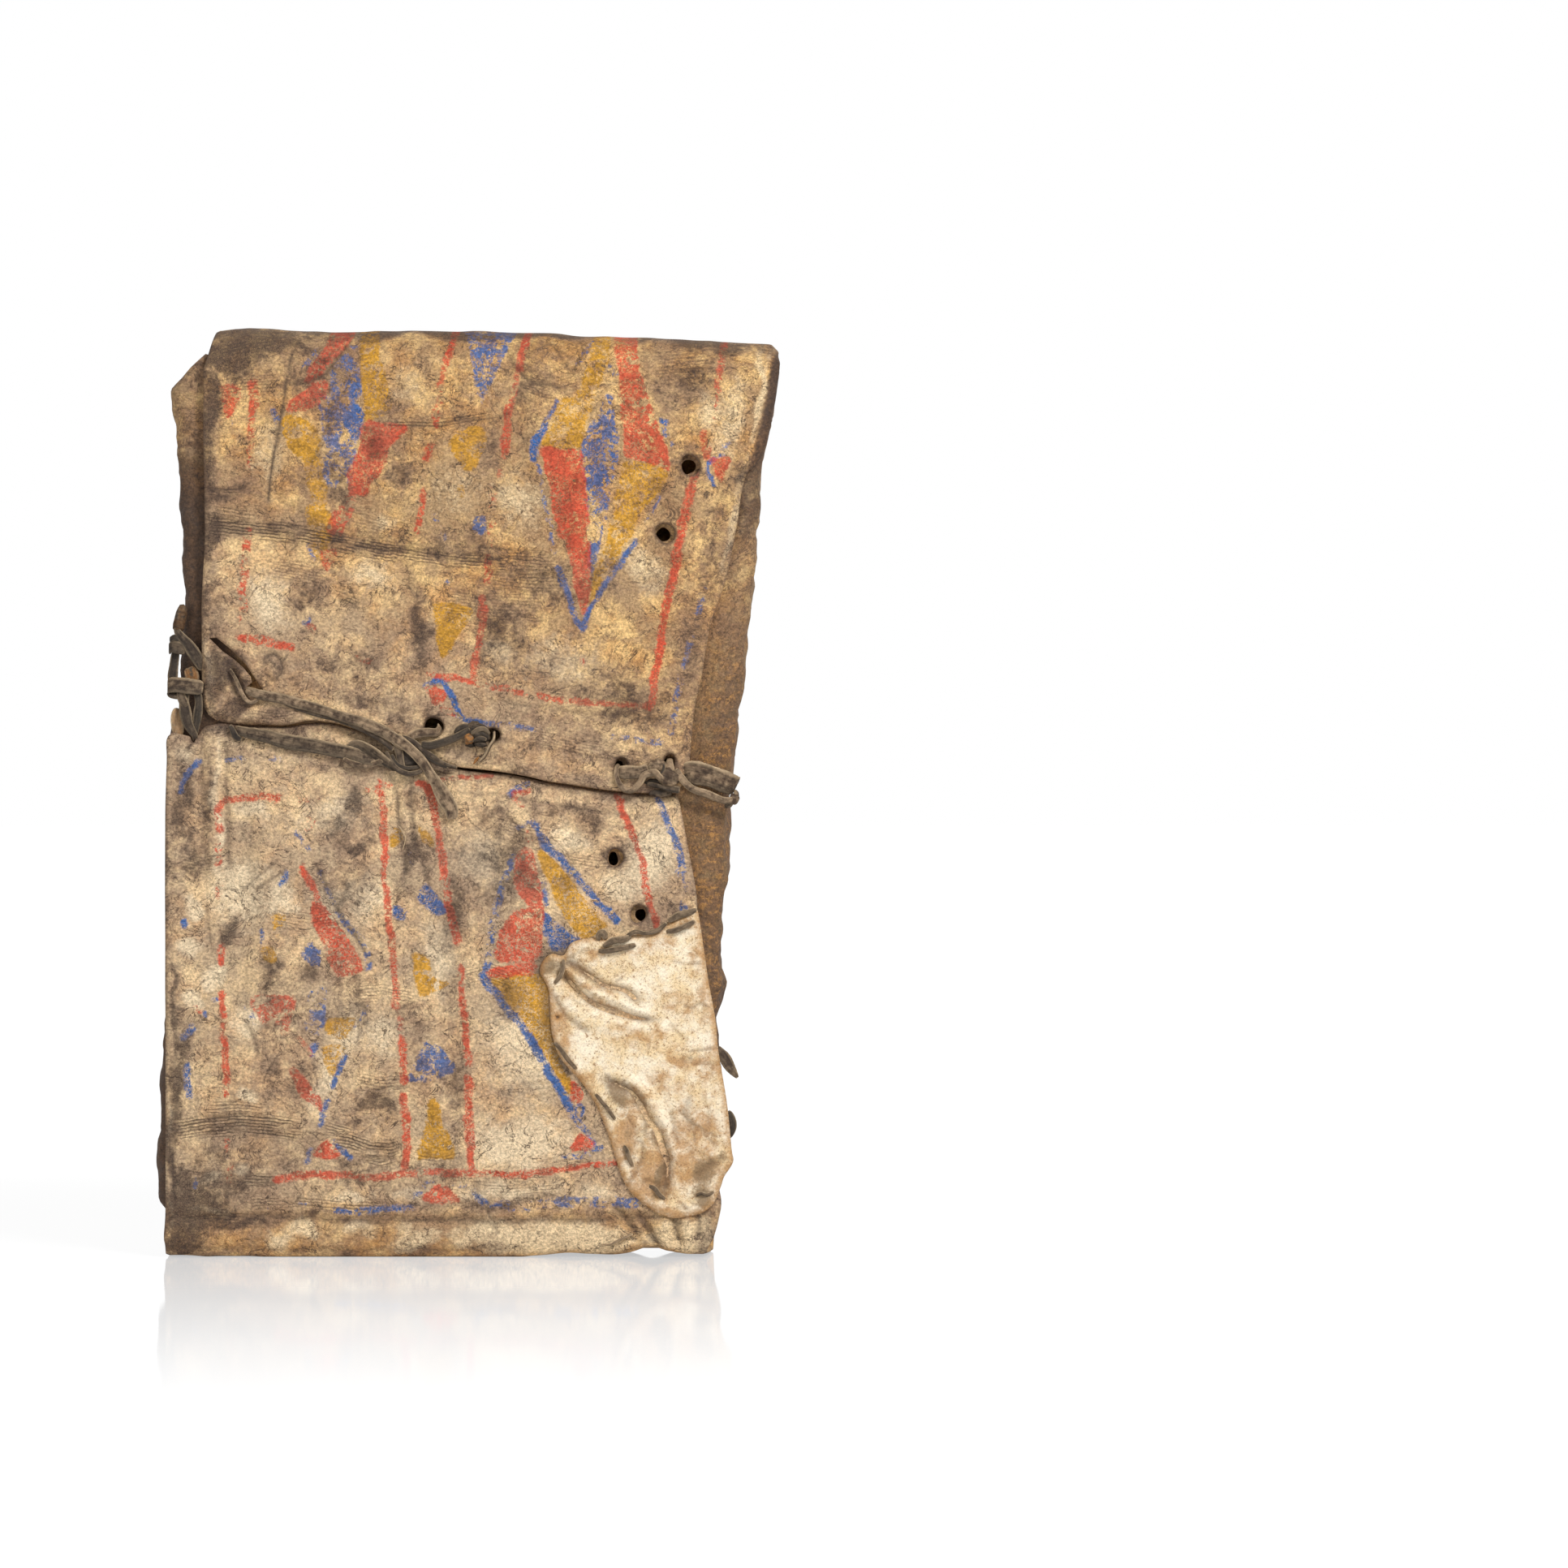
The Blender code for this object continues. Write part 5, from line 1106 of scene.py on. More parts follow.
class Leather:
    """Strips and lumps of soft leather, gathered into one object."""

    def __init__(self):
        self.points, self.faces, self.place, self.tone = [], [], [], []

    def add(self, rings, places, tones):
        """Joins rows of rings of points into a closed skin."""
        start, count, around = len(self.points), len(rings), len(rings[0])
        for ring, place, tone in zip(rings, places, tones):
            self.points += list(ring)
            self.place += list(place)
            self.tone += list(tone)
        for k in range(count - 1):
            for j in range(around):
                a, b = start + k * around + j, start + k * around + (j + 1) % around
                self.faces.append((a, b, b + around, a + around))
        self.faces.append(tuple(start + j for j in reversed(range(around))))
        self.faces.append(tuple(start + (count - 1) * around + j for j in range(around)))

    def strip(self, rows, thick=1.8, tone=(0, 0, 0), curl=0.0, seed=0):
        """A rounded strip through rows of x, height, distance out, width and, where it rolls, degrees."""
        rows = np.array([tuple(row) + (0,) * (5 - len(row)) for row in rows], dtype=float)
        rows[:, 4] = np.radians(rows[:, 4])
        path = curved(rows, 1.1)
        spine = np.column_stack([path[:, 0], FRONT - path[:, 2], path[:, 1]])
        ahead = np.gradient(spine, axis=0)
        ahead /= np.linalg.norm(ahead, axis=1)[:, None] + 1e-9
        normal = np.array([0.0, -1.0, 0.0]) - ahead[0] * -ahead[0][1]
        if np.linalg.norm(normal) < 0.2:
            normal = np.array([-1.0 if path[0, 0] < 0 else 1.0, 0.0, 0.0])
        chance = np.random.default_rng(seed + 5)
        wavy = np.convolve(chance.uniform(-1, 1, len(path) + 8), np.ones(9) / 9, "valid")[:len(path)]
        turns = (np.arange(14) + 0.5) / 14 * 2 * math.pi
        u = np.sign(np.cos(turns)) * np.abs(np.cos(turns)) ** 0.62
        v = np.sign(np.sin(turns)) * np.abs(np.sin(turns)) ** 0.8
        rings, places, tones, gone = [], [], [], 0.0
        last = len(path) - 1
        for k in range(len(path)):
            normal = normal - ahead[k] * normal.dot(ahead[k])
            normal /= np.linalg.norm(normal) + 1e-9
            side = np.cross(ahead[k], normal)
            turned = normal * math.cos(path[k, 4]) + side * math.sin(path[k, 4])
            across = side * math.cos(path[k, 4]) - normal * math.sin(path[k, 4])
            end = 0.72 if k in (0, last) else 0.93 if k in (1, last - 1) else 1.0
            wide = max(path[k, 3], 0.4) / 2 * (1 + 0.2 * wavy[k]) * end
            high = thick / 2 * (0.7 if k in (0, last) else 1.0)
            gone += np.linalg.norm(spine[k] - spine[k - 1]) if k else 0
            lift = v * high + curl * (u * u - 0.5) + 0.25 * wavy[k] * u
            rings.append(spine[k] + np.outer(u * wide, across) + np.outer(lift, turned))
            places.append(np.column_stack([gone + 0 * u + seed * 37, u * wide + seed * 11, lift]))
            # Pale cut edges at the sides and ends, fainter on the lower side, so the upper edge is lighter
            # as a painted highlight
            rim = np.clip((np.abs(u) - 0.66) / 0.34, 0, 1)
            rim = np.maximum(rim, 0.9 if k in (0, last) else 0)
            # Painted shade: the strip's lower side is darkened
            below = np.clip(-u * across[2], 0, 1) ** 1.5
            rim = rim * (1 - 0.5 * tone[0]) * (1 - 0.8 * below) + tone[1]
            tones.append(np.column_stack([np.clip(tone[0] + 0.75 * below, 0, 1), rim, tone[2] + 0 * u]))
        self.add(rings, places, tones)
        return self

    def lump(self, x, z, out, wide, tall, deep, lean=0, tone=(0, 0, 0), seed=0):
        """A rounded lump of folded leather with a few creases."""
        c, s = math.cos(math.radians(lean)), math.sin(math.radians(lean))
        turns = np.arange(22) / 22 * 2 * math.pi
        rings, places, tones = [], [], []
        for level in np.linspace(0.06, math.pi - 0.06, 15):
            u, v, w = np.cos(turns) * math.sin(level), np.sin(turns) * math.sin(level), math.cos(level)
            uneven = 1 + 0.13 * wander(u * 3 + w, v * 3 - w, 1.3, 200 + seed) \
                - 0.10 * np.exp(-((u * 1.2 + 0.5 * v + 0.12 * (seed % 5 - 2)) / 0.14) ** 2) * max(w, 0)
            a, b = u * wide * uneven, v * tall * uneven
            rings.append(np.column_stack([x + a * c - b * s, FRONT - out - w * deep * uneven,
                                          z + a * s + b * c]))
            places.append(np.column_stack([a + seed * 23, b, 0 * a + w * 4]))
            # Painted shade in the lump's dents: the more a place is pressed in, the darker it is
            tones.append(np.column_stack([np.clip(tone[0] + (1.06 - uneven) * 1.2, 0, 1), tone[1] + 0 * u,
                                          tone[2] + 0 * u]))
        self.add(rings, places, tones)
        return self

    def made(self, name, body, material, *nodes):
        """Turns what was gathered into an object that stands for CAD nodes."""
        thing = made_object(name, self.points, self.faces, material)
        store(thing, "place", *np.array(self.place).T)
        store(thing, "tone", *np.array(self.tone).T)
        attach(thing, body)
        if nodes:
            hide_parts(*nodes)


def leather_material(settings):
    """Soft old leather, darker where handled, darker still on the strips' lower sides and in the lumps'
    dents as painted shade, and paler along its cut edges.
    """
    s = Shader("soft_leather")
    place = s.stored("place")[0]
    tone = s.stored("tone")[1]
    broad, small, grain = (s.noise(place, 16, 3), s.noise(place, 4, 4, 0.65), s.noise(place, 1.5, 3, 0.6))
    lines = s.noise(s.moved(place, (0.12, 1, 1)), 1.6, 3, 0.6)
    base = s.mix(s.step(broad * 0.5 + small * 0.5, 0.4, 0.6), settings.leather, settings.worn)
    base = s.mix(s.step(small, 0.56, 0.72, 0, 0.5), base, settings.grimy)
    # Dark handled leather, and painted shade on the strips' lower sides and in the lumps' dents
    base = s.mix(tone[0] * s.step(small, 0.2, 0.62, 1, 0.84), base, settings.grimy)
    base = s.mix(tone[2] * s.step(small, 0.36, 0.5), base, settings.tanned)
    # Pale cut edges, paler on a strip's upper edge as a painted highlight
    base = s.mix(tone[1] * s.step(small, 0.3, 0.6, 0.4, 0.95), base, settings.cut)
    shade = s.step(grain, 0.3, 0.7, 0.84, 1.14) * s.step(lines, 0.34, 0.6, 0.62, 1.14)
    base = s.scaled(base, shade)
    height = small * 0.8 + grain * 0.4
    height += lines * 0.5
    return s.finish(base, s.step(small, 0.3, 0.7, 0.68, 0.86), height, 0.7, 0.9, 0.3)


# Tones of leather, as how dark, how pale at the edges and how tanned it is, from 0 to 1
DARK, DARKER, COLD, WARM, PLAIN = (0.62, 0, 0), (0.97, 0, 0), (0.9, 0, 0), (0.2, 0, 0.9), (0, 0, 0)


def build_front_tie(leather):
    """The two straps that meet in a knot over the seam, and its broad tail."""
    piece = Leather().strip([(-150, 385, 0.6, 5), (-145, 383, 2.4, 6), (-138, 381, 3.2, 7),
        (-127, 379, 3.4, 7.2), (-116, 376, 3.6, 7.2), (-101, 372, 3.8, 6.8), (-86, 367, 4.2, 6.6),
        (-72, 363, 4.8, 7.4), (-58, 357, 5.4, 8), (-51, 353, 5.6, 8),
        (-42, 346, 5.4, 7.4)], 1.9, PLAIN, 0.3, 1)
    piece.strip([(-123, 375, 2.6, 2.6), (-105, 369, 2.6, 3.4), (-86, 364, 3, 3.8), (-69, 357, 3.6, 4),
        (-57, 350, 4.2, 4), (-50, 344, 4.4, 3.4)], 2, DARK, 0, 2)
    piece.strip([(-161, 399, -0.6, 1.6), (-157, 392, 0.8, 2.4), (-153, 383, 1.2, 2.6), (-150, 378, 1.6, 3),
        (-146, 376, 1.8, 3), (-141, 379, 2.2, 2.6)], 1.4, PLAIN, 0, 25)
    piece.made("upper_strap", "upper_flap", leather, "upper_tie_thong")
    lower = Leather().strip([(-158, 358, -1.4, 6), (-154, 357, 0.6, 7), (-145, 355, 1.9, 8.4),
        (-135, 353, 2.2, 9.6), (-124, 350, 2.4, 10.4), (-105, 347, 2.6, 10.4), (-90, 344, 3, 10.2),
        (-79, 342, 3.6, 9.6, 12), (-70, 339, 4, 9, -8), (-62, 337, 4, 7.4, -16),
        (-53, 336, 3.6, 6)], 1.7, (0.42, 0, 0), 0.35, 3)
    lower.strip([(-161, 361, 0.4, 3), (-159, 357, 0.9, 4.4), (-157, 353, 0.9, 4.6),
        (-153, 351, 0.4, 3)], 1.2, DARKER, 0, 26)
    lower.strip([(-81, 346, 3.6, 4), (-75, 348, 4.8, 6.4, 10), (-68, 345, 5.2, 8, 20),
        (-61, 340, 5.4, 8.6, 24), (-54, 335, 5, 7, 10), (-48, 331, 4.2, 4.6)], 1.7, DARK, 0.3, 4)
    lower.strip([(-84, 338, 3, 3), (-75, 334, 4.2, 4.4), (-66, 334, 4.6, 4.4),
        (-57, 337, 5.2, 3.6)], 1.8, PLAIN, 0, 5)
    lower.made("lower_strap", "lower_flap", leather, "lower_tie_thong")
    knot = Leather().lump(-40, 338, 2, 8.4, 8.2, 2.6, 20, DARKER, 6)
    knot.strip([(-55, 343, 4, 3), (-52, 337, 5, 3.6), (-47, 331, 5.6, 3.8), (-40, 328, 5.8, 3.6),
        (-33, 329, 5.2, 3.2), (-28, 332, 3.8, 2.6)], 2.6, DARK, 0, 7)
    knot.strip([(-51, 341, 4.4, 2.4), (-48, 335, 5.2, 2.8), (-42, 332, 5.4, 2.8), (-36, 332, 5, 2.6),
        (-31, 333, 4.2, 2.2)], 2.2, DARKER, 0, 8)
    knot.strip([(-48, 348, 4.6, 5), (-46, 342, 4.4, 5.6), (-45, 336, 4.6, 5),
        (-43, 331, 4.8, 3)], 2, DARK, 0, 9)
    knot.strip([(-44, 353, 4.6, 3.4), (-37, 350, 5.2, 3.8), (-31, 345, 5, 4), (-24, 340, 4.6, 3.8),
        (-16, 335, 3.8, 3.2), (-7, 332, 2.4, 2.4)], 2.4, DARK, 0, 10)
    knot.strip([(-35, 346, 4.4, 3), (-28, 340, 4.4, 4), (-21, 336, 3.8, 3.8),
        (-13, 332, 2.8, 3)], 2.2, DARKER, 0, 11)
    knot.strip([(-40, 352, 4, 4.6), (-34, 355, 4.6, 6.2), (-27, 356, 4.2, 6.4), (-21, 356, 2, 6),
        (-19, 359, -2.6, 5), (-20, 361, -6, 4)], 1.8, PLAIN, 0.3, 12)
    knot.made("strap_knot", "lower_flap", leather, "tie_knot")
    piece = Leather().strip([(-56, 356, 4.6, 6), (-47, 351, 6, 7.2), (-39, 345, 6.6, 7.2),
        (-31, 337, 6.2, 7), (-25, 328, 5.4, 7.4), (-20, 320, 4.8, 9.4), (-15, 311, 4.6, 10.6),
        (-11, 304, 4.4, 9.6), (-10, 297, 4.2, 7)], 1.8, PLAIN, 0.3, 13)
    piece.made("strap_tail", "lower_flap", leather, "tie_tail")


def build_toggle(leather):
    """The short dark strap with its toggle knot, beside the front tie."""
    piece = Leather().strip([(-31, 348, 4.6, 5), (-25, 347, 5.2, 5.4), (-17, 349, 5.6, 5.6),
        (-9, 352, 5.8, 5.4), (-3, 355, 5.6, 5.2), (2, 358, 4.6, 4.6)], 4, DARKER, 0, 14)
    piece.made("toggle_strap", "upper_flap", leather, "toggle_thong")
    knot = Leather().lump(8, 355, 3.8, 7.6, 6.4, 5, -24, (0.95, 0, 0), 15)
    knot.lump(1, 352, 4.8, 3.6, 4.4, 3.6, 10, WARM, 16)
    knot.lump(4, 361, 4, 4, 2.8, 2.8, 20, DARK, 17)
    knot.lump(9, 348, 4.2, 4.2, 2.2, 2.8, -10, COLD, 18)
    knot.lump(2, 348, 1.6, 3.6, 2.4, 2, 0, DARKER, 19)
    knot.strip([(-8, 355, 3.4, 3.6), (-6, 358, 4.4, 4.2), (-2, 360, 4.6, 4),
        (2, 360, 4.2, 3)], 3.2, COLD, 0, 20)
    knot.strip([(3, 355, 7.4, 2.6), (8, 358, 9, 3.4), (12, 358, 8, 3.2),
        (15, 355, 5.4, 2.6)], 2, (0.85, 0.2, 0), 0, 21)
    knot.strip([(4, 350, 7, 2.4), (9, 352, 8.6, 3), (13, 351, 7.2, 2.8)], 1.8, COLD, 0, 22)
    knot.made("toggle", "upper_flap", leather, "toggle_knot")
    piece = Leather().strip([(18, 355, -4, 4.4), (18, 354, 1, 4.8), (18, 351, 3.8, 5.2),
        (15, 346, 4.4, 6.2), (12, 340, 4, 6.8), (8, 336, 3.4, 6.6)], 2, (0.75, 0.2, 0), 0.3, 23)
    piece.lump(6, 337, 3.6, 1, 3, 1.2, -36, WARM, 24)
    piece.made("toggle_end", "upper_flap", leather, "toggle_tail")


def build_right_tie(leather):
    """The knot at the upper flap's right corner, with its loops and the band round the wall."""
    piece = Leather().strip([(102, 329, 1.6, 7.6), (106, 329, 2.8, 9), (111, 329, 3.4, 9.4),
        (117, 329, 4.2, 9.2), (123, 331, 4.8, 8)], 1.8, PLAIN, 0.3, 30)
    piece.made("right_tie_flat_loop", "upper_flap", leather, "right_loop_band")
    piece = Leather().strip([(102, 334, -3, 3), (101, 331, 1.4, 3.4), (101, 326, 2.6, 3.6),
        (103, 321, 3.2, 4), (107, 317, 3.6, 4.2), (112, 317, 4, 4.4), (117, 322, 4.6, 4.6),
        (120, 327, 5.2, 5), (127, 329, 5.6, 5.4)], 2.4, PLAIN, 0, 31)
    piece.made("right_tie_thin_loop", "upper_flap", leather, "right_loop_cord")
    knot = Leather().lump(128, 333, 3.6, 6.6, 5.2, 3.8, 0, PLAIN, 32)
    knot.lump(136, 326, 3.8, 8, 6.6, 4.4, -20, PLAIN, 33)
    knot.strip([(137, 338, -5, 4), (137, 336, 0.6, 4.6), (137, 332, 3.6, 6.4),
        (136, 327, 5.4, 8.6)], 2.2, PLAIN, 0, 34)
    knot.strip([(122, 328, 5, 4), (127, 329, 6.6, 5.2), (130, 326, 6.8, 5),
        (134, 323, 6, 4)], 2, PLAIN, 0.2, 35)
    knot.strip([(133, 335, 6.2, 1.4), (133, 331, 7.4, 1.8), (130, 327, 7.2, 1.6)], 0.8, DARKER, 0, 36)
    knot.lump(130, 321, 1.2, 9.4, 3, 1.8, -8, DARKER, 37)
    knot.strip([(122, 321, 2.2, 2.6), (129, 320, 3, 3.2), (136, 318, 3.6, 4.2),
        (144, 317, 3.4, 5.2)], 2.8, DARK, 0, 38)
    knot.lump(131, 315, 0.8, 8.2, 2.6, 1.6, 0, DARK, 39)
    knot.made("right_tie_knot", "upper_flap", leather, "right_knot")
    piece = Leather().strip([(146, 328, -0.4, 12), (151, 329, 1.4, 14.6), (157, 328, 2.2, 15.8),
        (165, 326, 2.4, 16.2), (173, 323, 2.2, 16), (178, 321, 1.2, 15), (181, 320, -2.6, 14),
        (182, 320, -9, 12)], 1.6, PLAIN, 0.2, 40)
    piece.made("right_tie_band", "upper_flap", leather, "right_band")
    cord = Leather().strip([(141, 331, 4.6, 4.4), (145, 325, 4.8, 5), (152, 318, 4.4, 5.4),
        (163, 314, 4.2, 5.4), (173, 310, 3.6, 5.2), (179, 310, 2.4, 5), (182, 313, -0.4, 4.6),
        (182, 316, -5, 4)], 2.8, PLAIN, 0, 41)
    cord.lump(177, 307, 1.2, 3, 2.2, 1.8, 30, DARK, 42)
    cord.lump(181, 311, 1.4, 3.4, 3.6, 2.2, 0, PLAIN, 43)
    cord.made("right_tie_cord", "upper_flap", leather, "right_cord")


def build_edge_ties(leather):
    """The thongs wrapped round the left edge, and the hide's tab beside them."""
    upper = Leather().strip([(-202, 413, -9, 7), (-202, 413, -3, 8), (-200, 414, 0.4, 8.6),
        (-195, 413, 1.4, 8.6), (-191, 411, 0.8, 7)], 1.8, DARK, 0.2, 50)
    upper.strip([(-201, 419, -8, 4), (-201, 419, -2, 4.6), (-198, 420, 0.4, 5),
        (-194, 418, 0, 4)], 2.2, DARKER, 0, 51)
    upper.made("upper_edge_loop", "root", leather, "edge_loop_1")
    loop = Leather().strip([(-203, 387, -10, 9), (-203, 387, -3.4, 10), (-201, 388, 0.8, 10.6),
        (-195, 388, 2, 10.6), (-187, 387, 2.6, 10.4), (-179, 386, 2.2, 9.6)], 1.8, (0.3, 0, 0), 0.3, 52)
    loop.strip([(-203, 383, -3, 3.4), (-201, 381, -0.4, 3.6), (-196, 380, 0.8, 3.4),
        (-193, 381, 0.2, 2.6)], 2, DARK, 0, 53)
    loop.lump(-198, 382, -2.6, 5.6, 2.4, 2, 0, DARKER, 54)
    loop.made("lower_edge_loop", "root", leather, "edge_loop_2")
    strand = Leather().lump(-195, 432, -3, 4.4, 10.4, 5, -10, (0.8, 0, 0.2), 55)
    strand.strip([(-198, 427, -1, 3), (-195, 422, 0.4, 5.6), (-189, 415, 1.4, 8), (-183, 406, 1.4, 8.6),
        (-179, 399, 0, 7)], 1.8, (0.7, 0, 0), 0.3, 56)
    strand.strip([(-198, 411, -2.4, 5), (-199, 403, -2, 6.4), (-200, 394, -2, 7),
        (-200, 387, -3, 6)], 1.6, DARKER, 0, 57)
    strand.strip([(-189, 400, -1.4, 8), (-187, 395, -1, 10), (-186, 389, -1, 9)], 1.6, (0.8, 0, 0.5), 0, 58)
    strand.strip([(-191, 383, 0.2, 6), (-192, 377, 0.8, 7), (-191, 369, 1, 8), (-189, 361, 0.8, 7),
        (-185, 354, -0.8, 4.6), (-185, 350, -4, 3)], 2.2, (0.75, 0, 0), 0.2, 59)
    strand.strip([(-183, 383, -0.4, 6), (-182, 376, 0.4, 6), (-183, 367, 0.4, 6), (-184, 359, -0.4, 4.6),
        (-185, 353, -3, 3)], 2, DARKER, 0, 60)
    strand.strip([(-195, 385, 0.6, 3), (-194, 381, 1.4, 6), (-192, 376, 1.6, 6.4),
        (-190, 372, 0.8, 3)], 1.6, DARK, 0, 61)
    strand.strip([(-196, 372, -3.4, 5), (-197, 369, -2.4, 8), (-197, 362, -2.4, 8.6),
        (-196, 354, -3.4, 7.4)], 1.8, (0, 0.4, 0.5), 0.3, 62)
    strand.made("edge_strand_skin", "root", leather, "edge_strand")


# ---- Repair patch

PATCH_EDGE = trail(155, 236, 3, -12, 5, -34, 5, -28, 2, -21, 6, -37, 3, -30, 1, -9, -6, -10, -2, -6, -5,
    -12, -7, -6, -10, -3, -11, -1, -11, 4, -9, 6, -8, 7, -6, 10, -5, 15, -6, 18, -7, 17, -10, 15, -9, 10,
    -7, 10, -4, 14, -1, 13, -1, 15, -3, 7, -3, 6, 2, 7, 6, 5, 8, -1, 5, 8, 9, 3, 12, 1, 13, 1, 11, 1, 12, 2,
    11, 7, 8, 5)
# The patch's creases, in the same columns; their darkness is painted shade and grime
PATCH_CREASES = drawn(3, [
    (0.9, 1, 98, 64, 200, 11, -5, 10, -7, 11, -5), (0.9, 1, 96, 67, 191, 8, -10, 12, -9, 15, -6, 21, -5),
    (0.9, 1, 90, 95, 119, 15, -6, 9, -8, 5, -13), (0.9, 1, 94, 129, 88, 5, -13, 2, -14, -3, -15),
    (0.5, 0.8, 60, 107, 98, 6, -11, 1, -13), (0.5, 0.8, 56, 145, 98, 7, -10, 3, -12),
    (2.8, 2.6, 86, 63, 202, 9, -4, 9, -7, 10, -6, 11, -3, 9, -5, 8, -5),
    (2.8, 2.6, 84, 65, 194, 7, -10, 9, -9, 14, -6, 15, -6, 20, -3),
    (-3, 3.4, 0, 65, 198, 11, -9, 13, -11, 17, -6, 17, -7), (1.3, 2, 60, 57, 179, 5, -10, 9, -9, 12, -8),
    (-1.2, 4, 0, 59, 185, 9, -12, 13, -11, 20, -7), (0.5, 1.1, 50, 138, 201, 10, -1, 14, -1),
    (0.6, 1.1, 56, 146, 172, 6, -3, 5, 3, 7, -2), (0.6, 1.2, 60, 150, 140, 10, 1, 10, 1),
    (0.6, 1.2, 50, 153, 131, 10, 0, 10, 0), (2.4, 3, 74, 92, 119, 15, -4, 10, -8, 5, -12, 7, -10),
    (-2.4, 3.4, 0, 108, 120, 14, -10, 8, -14, 8, -15, 4, -20),
    (3, 3.4, 92, 127, 89, 4, -11, 3, -13, 0, -13, -3, -10), (0.8, 1.8, 30, 160, 112, 3, -13, 0, -12),
    (-0.9, 3, 0, 113, 94, 6, -17, 2, -16), (0.7, 1.4, 40, 150, 90, 10, -5, 9, -13),
    (1, 2, 40, 155, 54, 8, 7, 10, 4), (0.9, 1.8, 56, 117, 50, 6, 2, 8, -5, 5, -7),
    (0.5, 1, 60, 144, 38, 7, -7), (0.4, 1, 46, 101, 188, 5, 2), (0.5, 1.2, 44, 138, 158, 13, -12),
    (1, 2.4, 40, 151, 110, -3, -12, 3, -11), (-1, 4, 0, 156, 110, -1, -14, 2, -14),
    (0.9, 2, 46, 138, 101, 2, -13, 4, -11), (0.8, 1.4, 50, 143, 101, 8, -9, 10, -5, 9, -6),
    (1, 1.6, 50, 105, 44, 8, 11, 5, 13, -1, 14), (-1.2, 3, 0, 151, 77, 10, -5, 9, -5),
    (0.4, 1, 40, 68, 178, 11, -8), (-1.2, 3, 0, 51, 195, 4, 3, 8, 6),
])
PATCH_GREY = [
    (98, 54, 198, 8, 10, 30), (70, 63, 189, 10, 6, -30), (70, 63, 198, 4, 6), (80, 103, 112, 14, 9, -22),
    (60, 95, 118, 8, 4), (84, 133, 55, 5, 16), (60, 123, 88, 6, 12, 20), (88, 163, 56, 10, 12, -30),
    (84, 161, 42, 9, 7, 20), (66, 173, 65, 6, 7), (60, 127, 43, 9, 7), (46, 102, 189, 4, 6),
    (50, 110, 69, 5, 8), (50, 143, 33, 12, 4), (46, 112, 215, 16, 5), (40, 65, 138, 9, 10, 40),
    (62, 118, 108, 14, 5, -40), (60, 130, 84, 5, 16), (56, 110, 84, 5, 9), (52, 151, 138, 18, 4),
    (50, 157, 38, 12, 8), (56, 70, 205, 16, 4, 20), (50, 79, 193, 12, 3, -28), (46, 91, 175, 16, 3, -24),
    (60, 51, 189, 4, 12),
]
PATCH_TAN = [
    (84, 110, 88, 12, 30, -24), (80, 123, 61, 16, 20), (70, 148, 82, 26, 22), (66, 99, 44, 8, 8),
    (60, 167, 143, 8, 40), (60, 134, 61, 30, 20), (60, 68, 195, 20, 8), (66, 161, 127, 10, 16),
    (60, 68, 186, 10, 10), (74, 144, 226, 12, 7, 20), (60, 162, 176, 5, 30), (56, 145, 72, 16, 30),
    (70, 118, 44, 12, 8), (56, 63, 165, 6, 18), (50, 140, 138, 14, 12), (56, 152, 33, 20, 5),
    (44, 112, 82, 12, 16), (50, 85, 206, 20, 8), (80, 123, 55, 22, 24), (76, 151, 61, 26, 20),
    (70, 112, 105, 14, 12, -30), (66, 157, 88, 20, 24), (70, 151, 132, 26, 8), (62, 156, 204, 10, 16),
    (60, 84, 185, 18, 5, -26), (60, 97, 168, 22, 4, -22), (64, 63, 158, 8, 24, 20), (56, 118, 148, 30, 10),
    (60, 79, 121, 12, 10, 40), (66, 132, 33, 24, 6), (56, 123, 209, 30, 8, 10), (50, 145, 170, 24, 12),
    (62, 90, 209, 22, 6), (54, 134, 116, 20, 20),
]
PATCH_HOLE = (61, 163, 1.0)


STITCHES = [
    [[(65, 202, 4.2, 2.4), (65, 197, 5.4, 3.2), (63, 191, 5.2, 3.0), (59, 186, 3.6, 2.2)]],
    [[(89, 208, 3.6, 3), (95, 208, 5.2, 3.8), (105, 210, 5.6, 4), (114, 212, 3.8, 3)],
     [(92, 211, 4.6, 3), (99, 215, 5.8, 5), (106, 216, 5.6, 5), (111, 218, 4.2, 3)],
     [(94, 216, 3.6, 4), (92, 220, 4.8, 5.4), (89, 219, 4.4, 4), (89, 215, 3.0, 3)]],
    [[(108, 218, 4.6, 2.8), (114, 221, 5.2, 3.2), (121, 220, 5.4, 3), (129, 222, 5.4, 3),
      (135, 227, 4.4, 2.6)]],
    [[(135, 221, 3.8, 3), (141, 222, 5.4, 3.8), (148, 225, 5.6, 3.8), (154, 228, 3.8, 3)],
     [(136, 228, 3.6, 3.4), (143, 232, 4.8, 5.4), (150, 234, 4.6, 5), (155, 236, 3.4, 3)]],
    [[(59, 146, 3.6, 2.6), (63, 142, 5.0, 3.4), (68, 135, 5.2, 3.6), (74, 128, 3.6, 2.6)]],
    [[(87, 111, 3.4, 2.4), (91, 106, 4.6, 3.0), (96, 100, 4.8, 3.0), (100, 94, 3.4, 2.4)]],
    [[(106, 76, 3.4, 2.4), (108, 73, 4.6, 3.2), (110, 67, 4.6, 3.2), (112, 62, 3.4, 2.4)]],
    [[(123, 49, 3.0, 2.4), (127, 47, 4.4, 3.2), (130, 43, 4.4, 3.2), (134, 40, 3.2, 2.4)]],
    [[(155, 42, 3.2, 2.4), (158, 44, 4.6, 3.0), (162, 43, 4.6, 3.0), (167, 45, 3.2, 2.4)]],
]


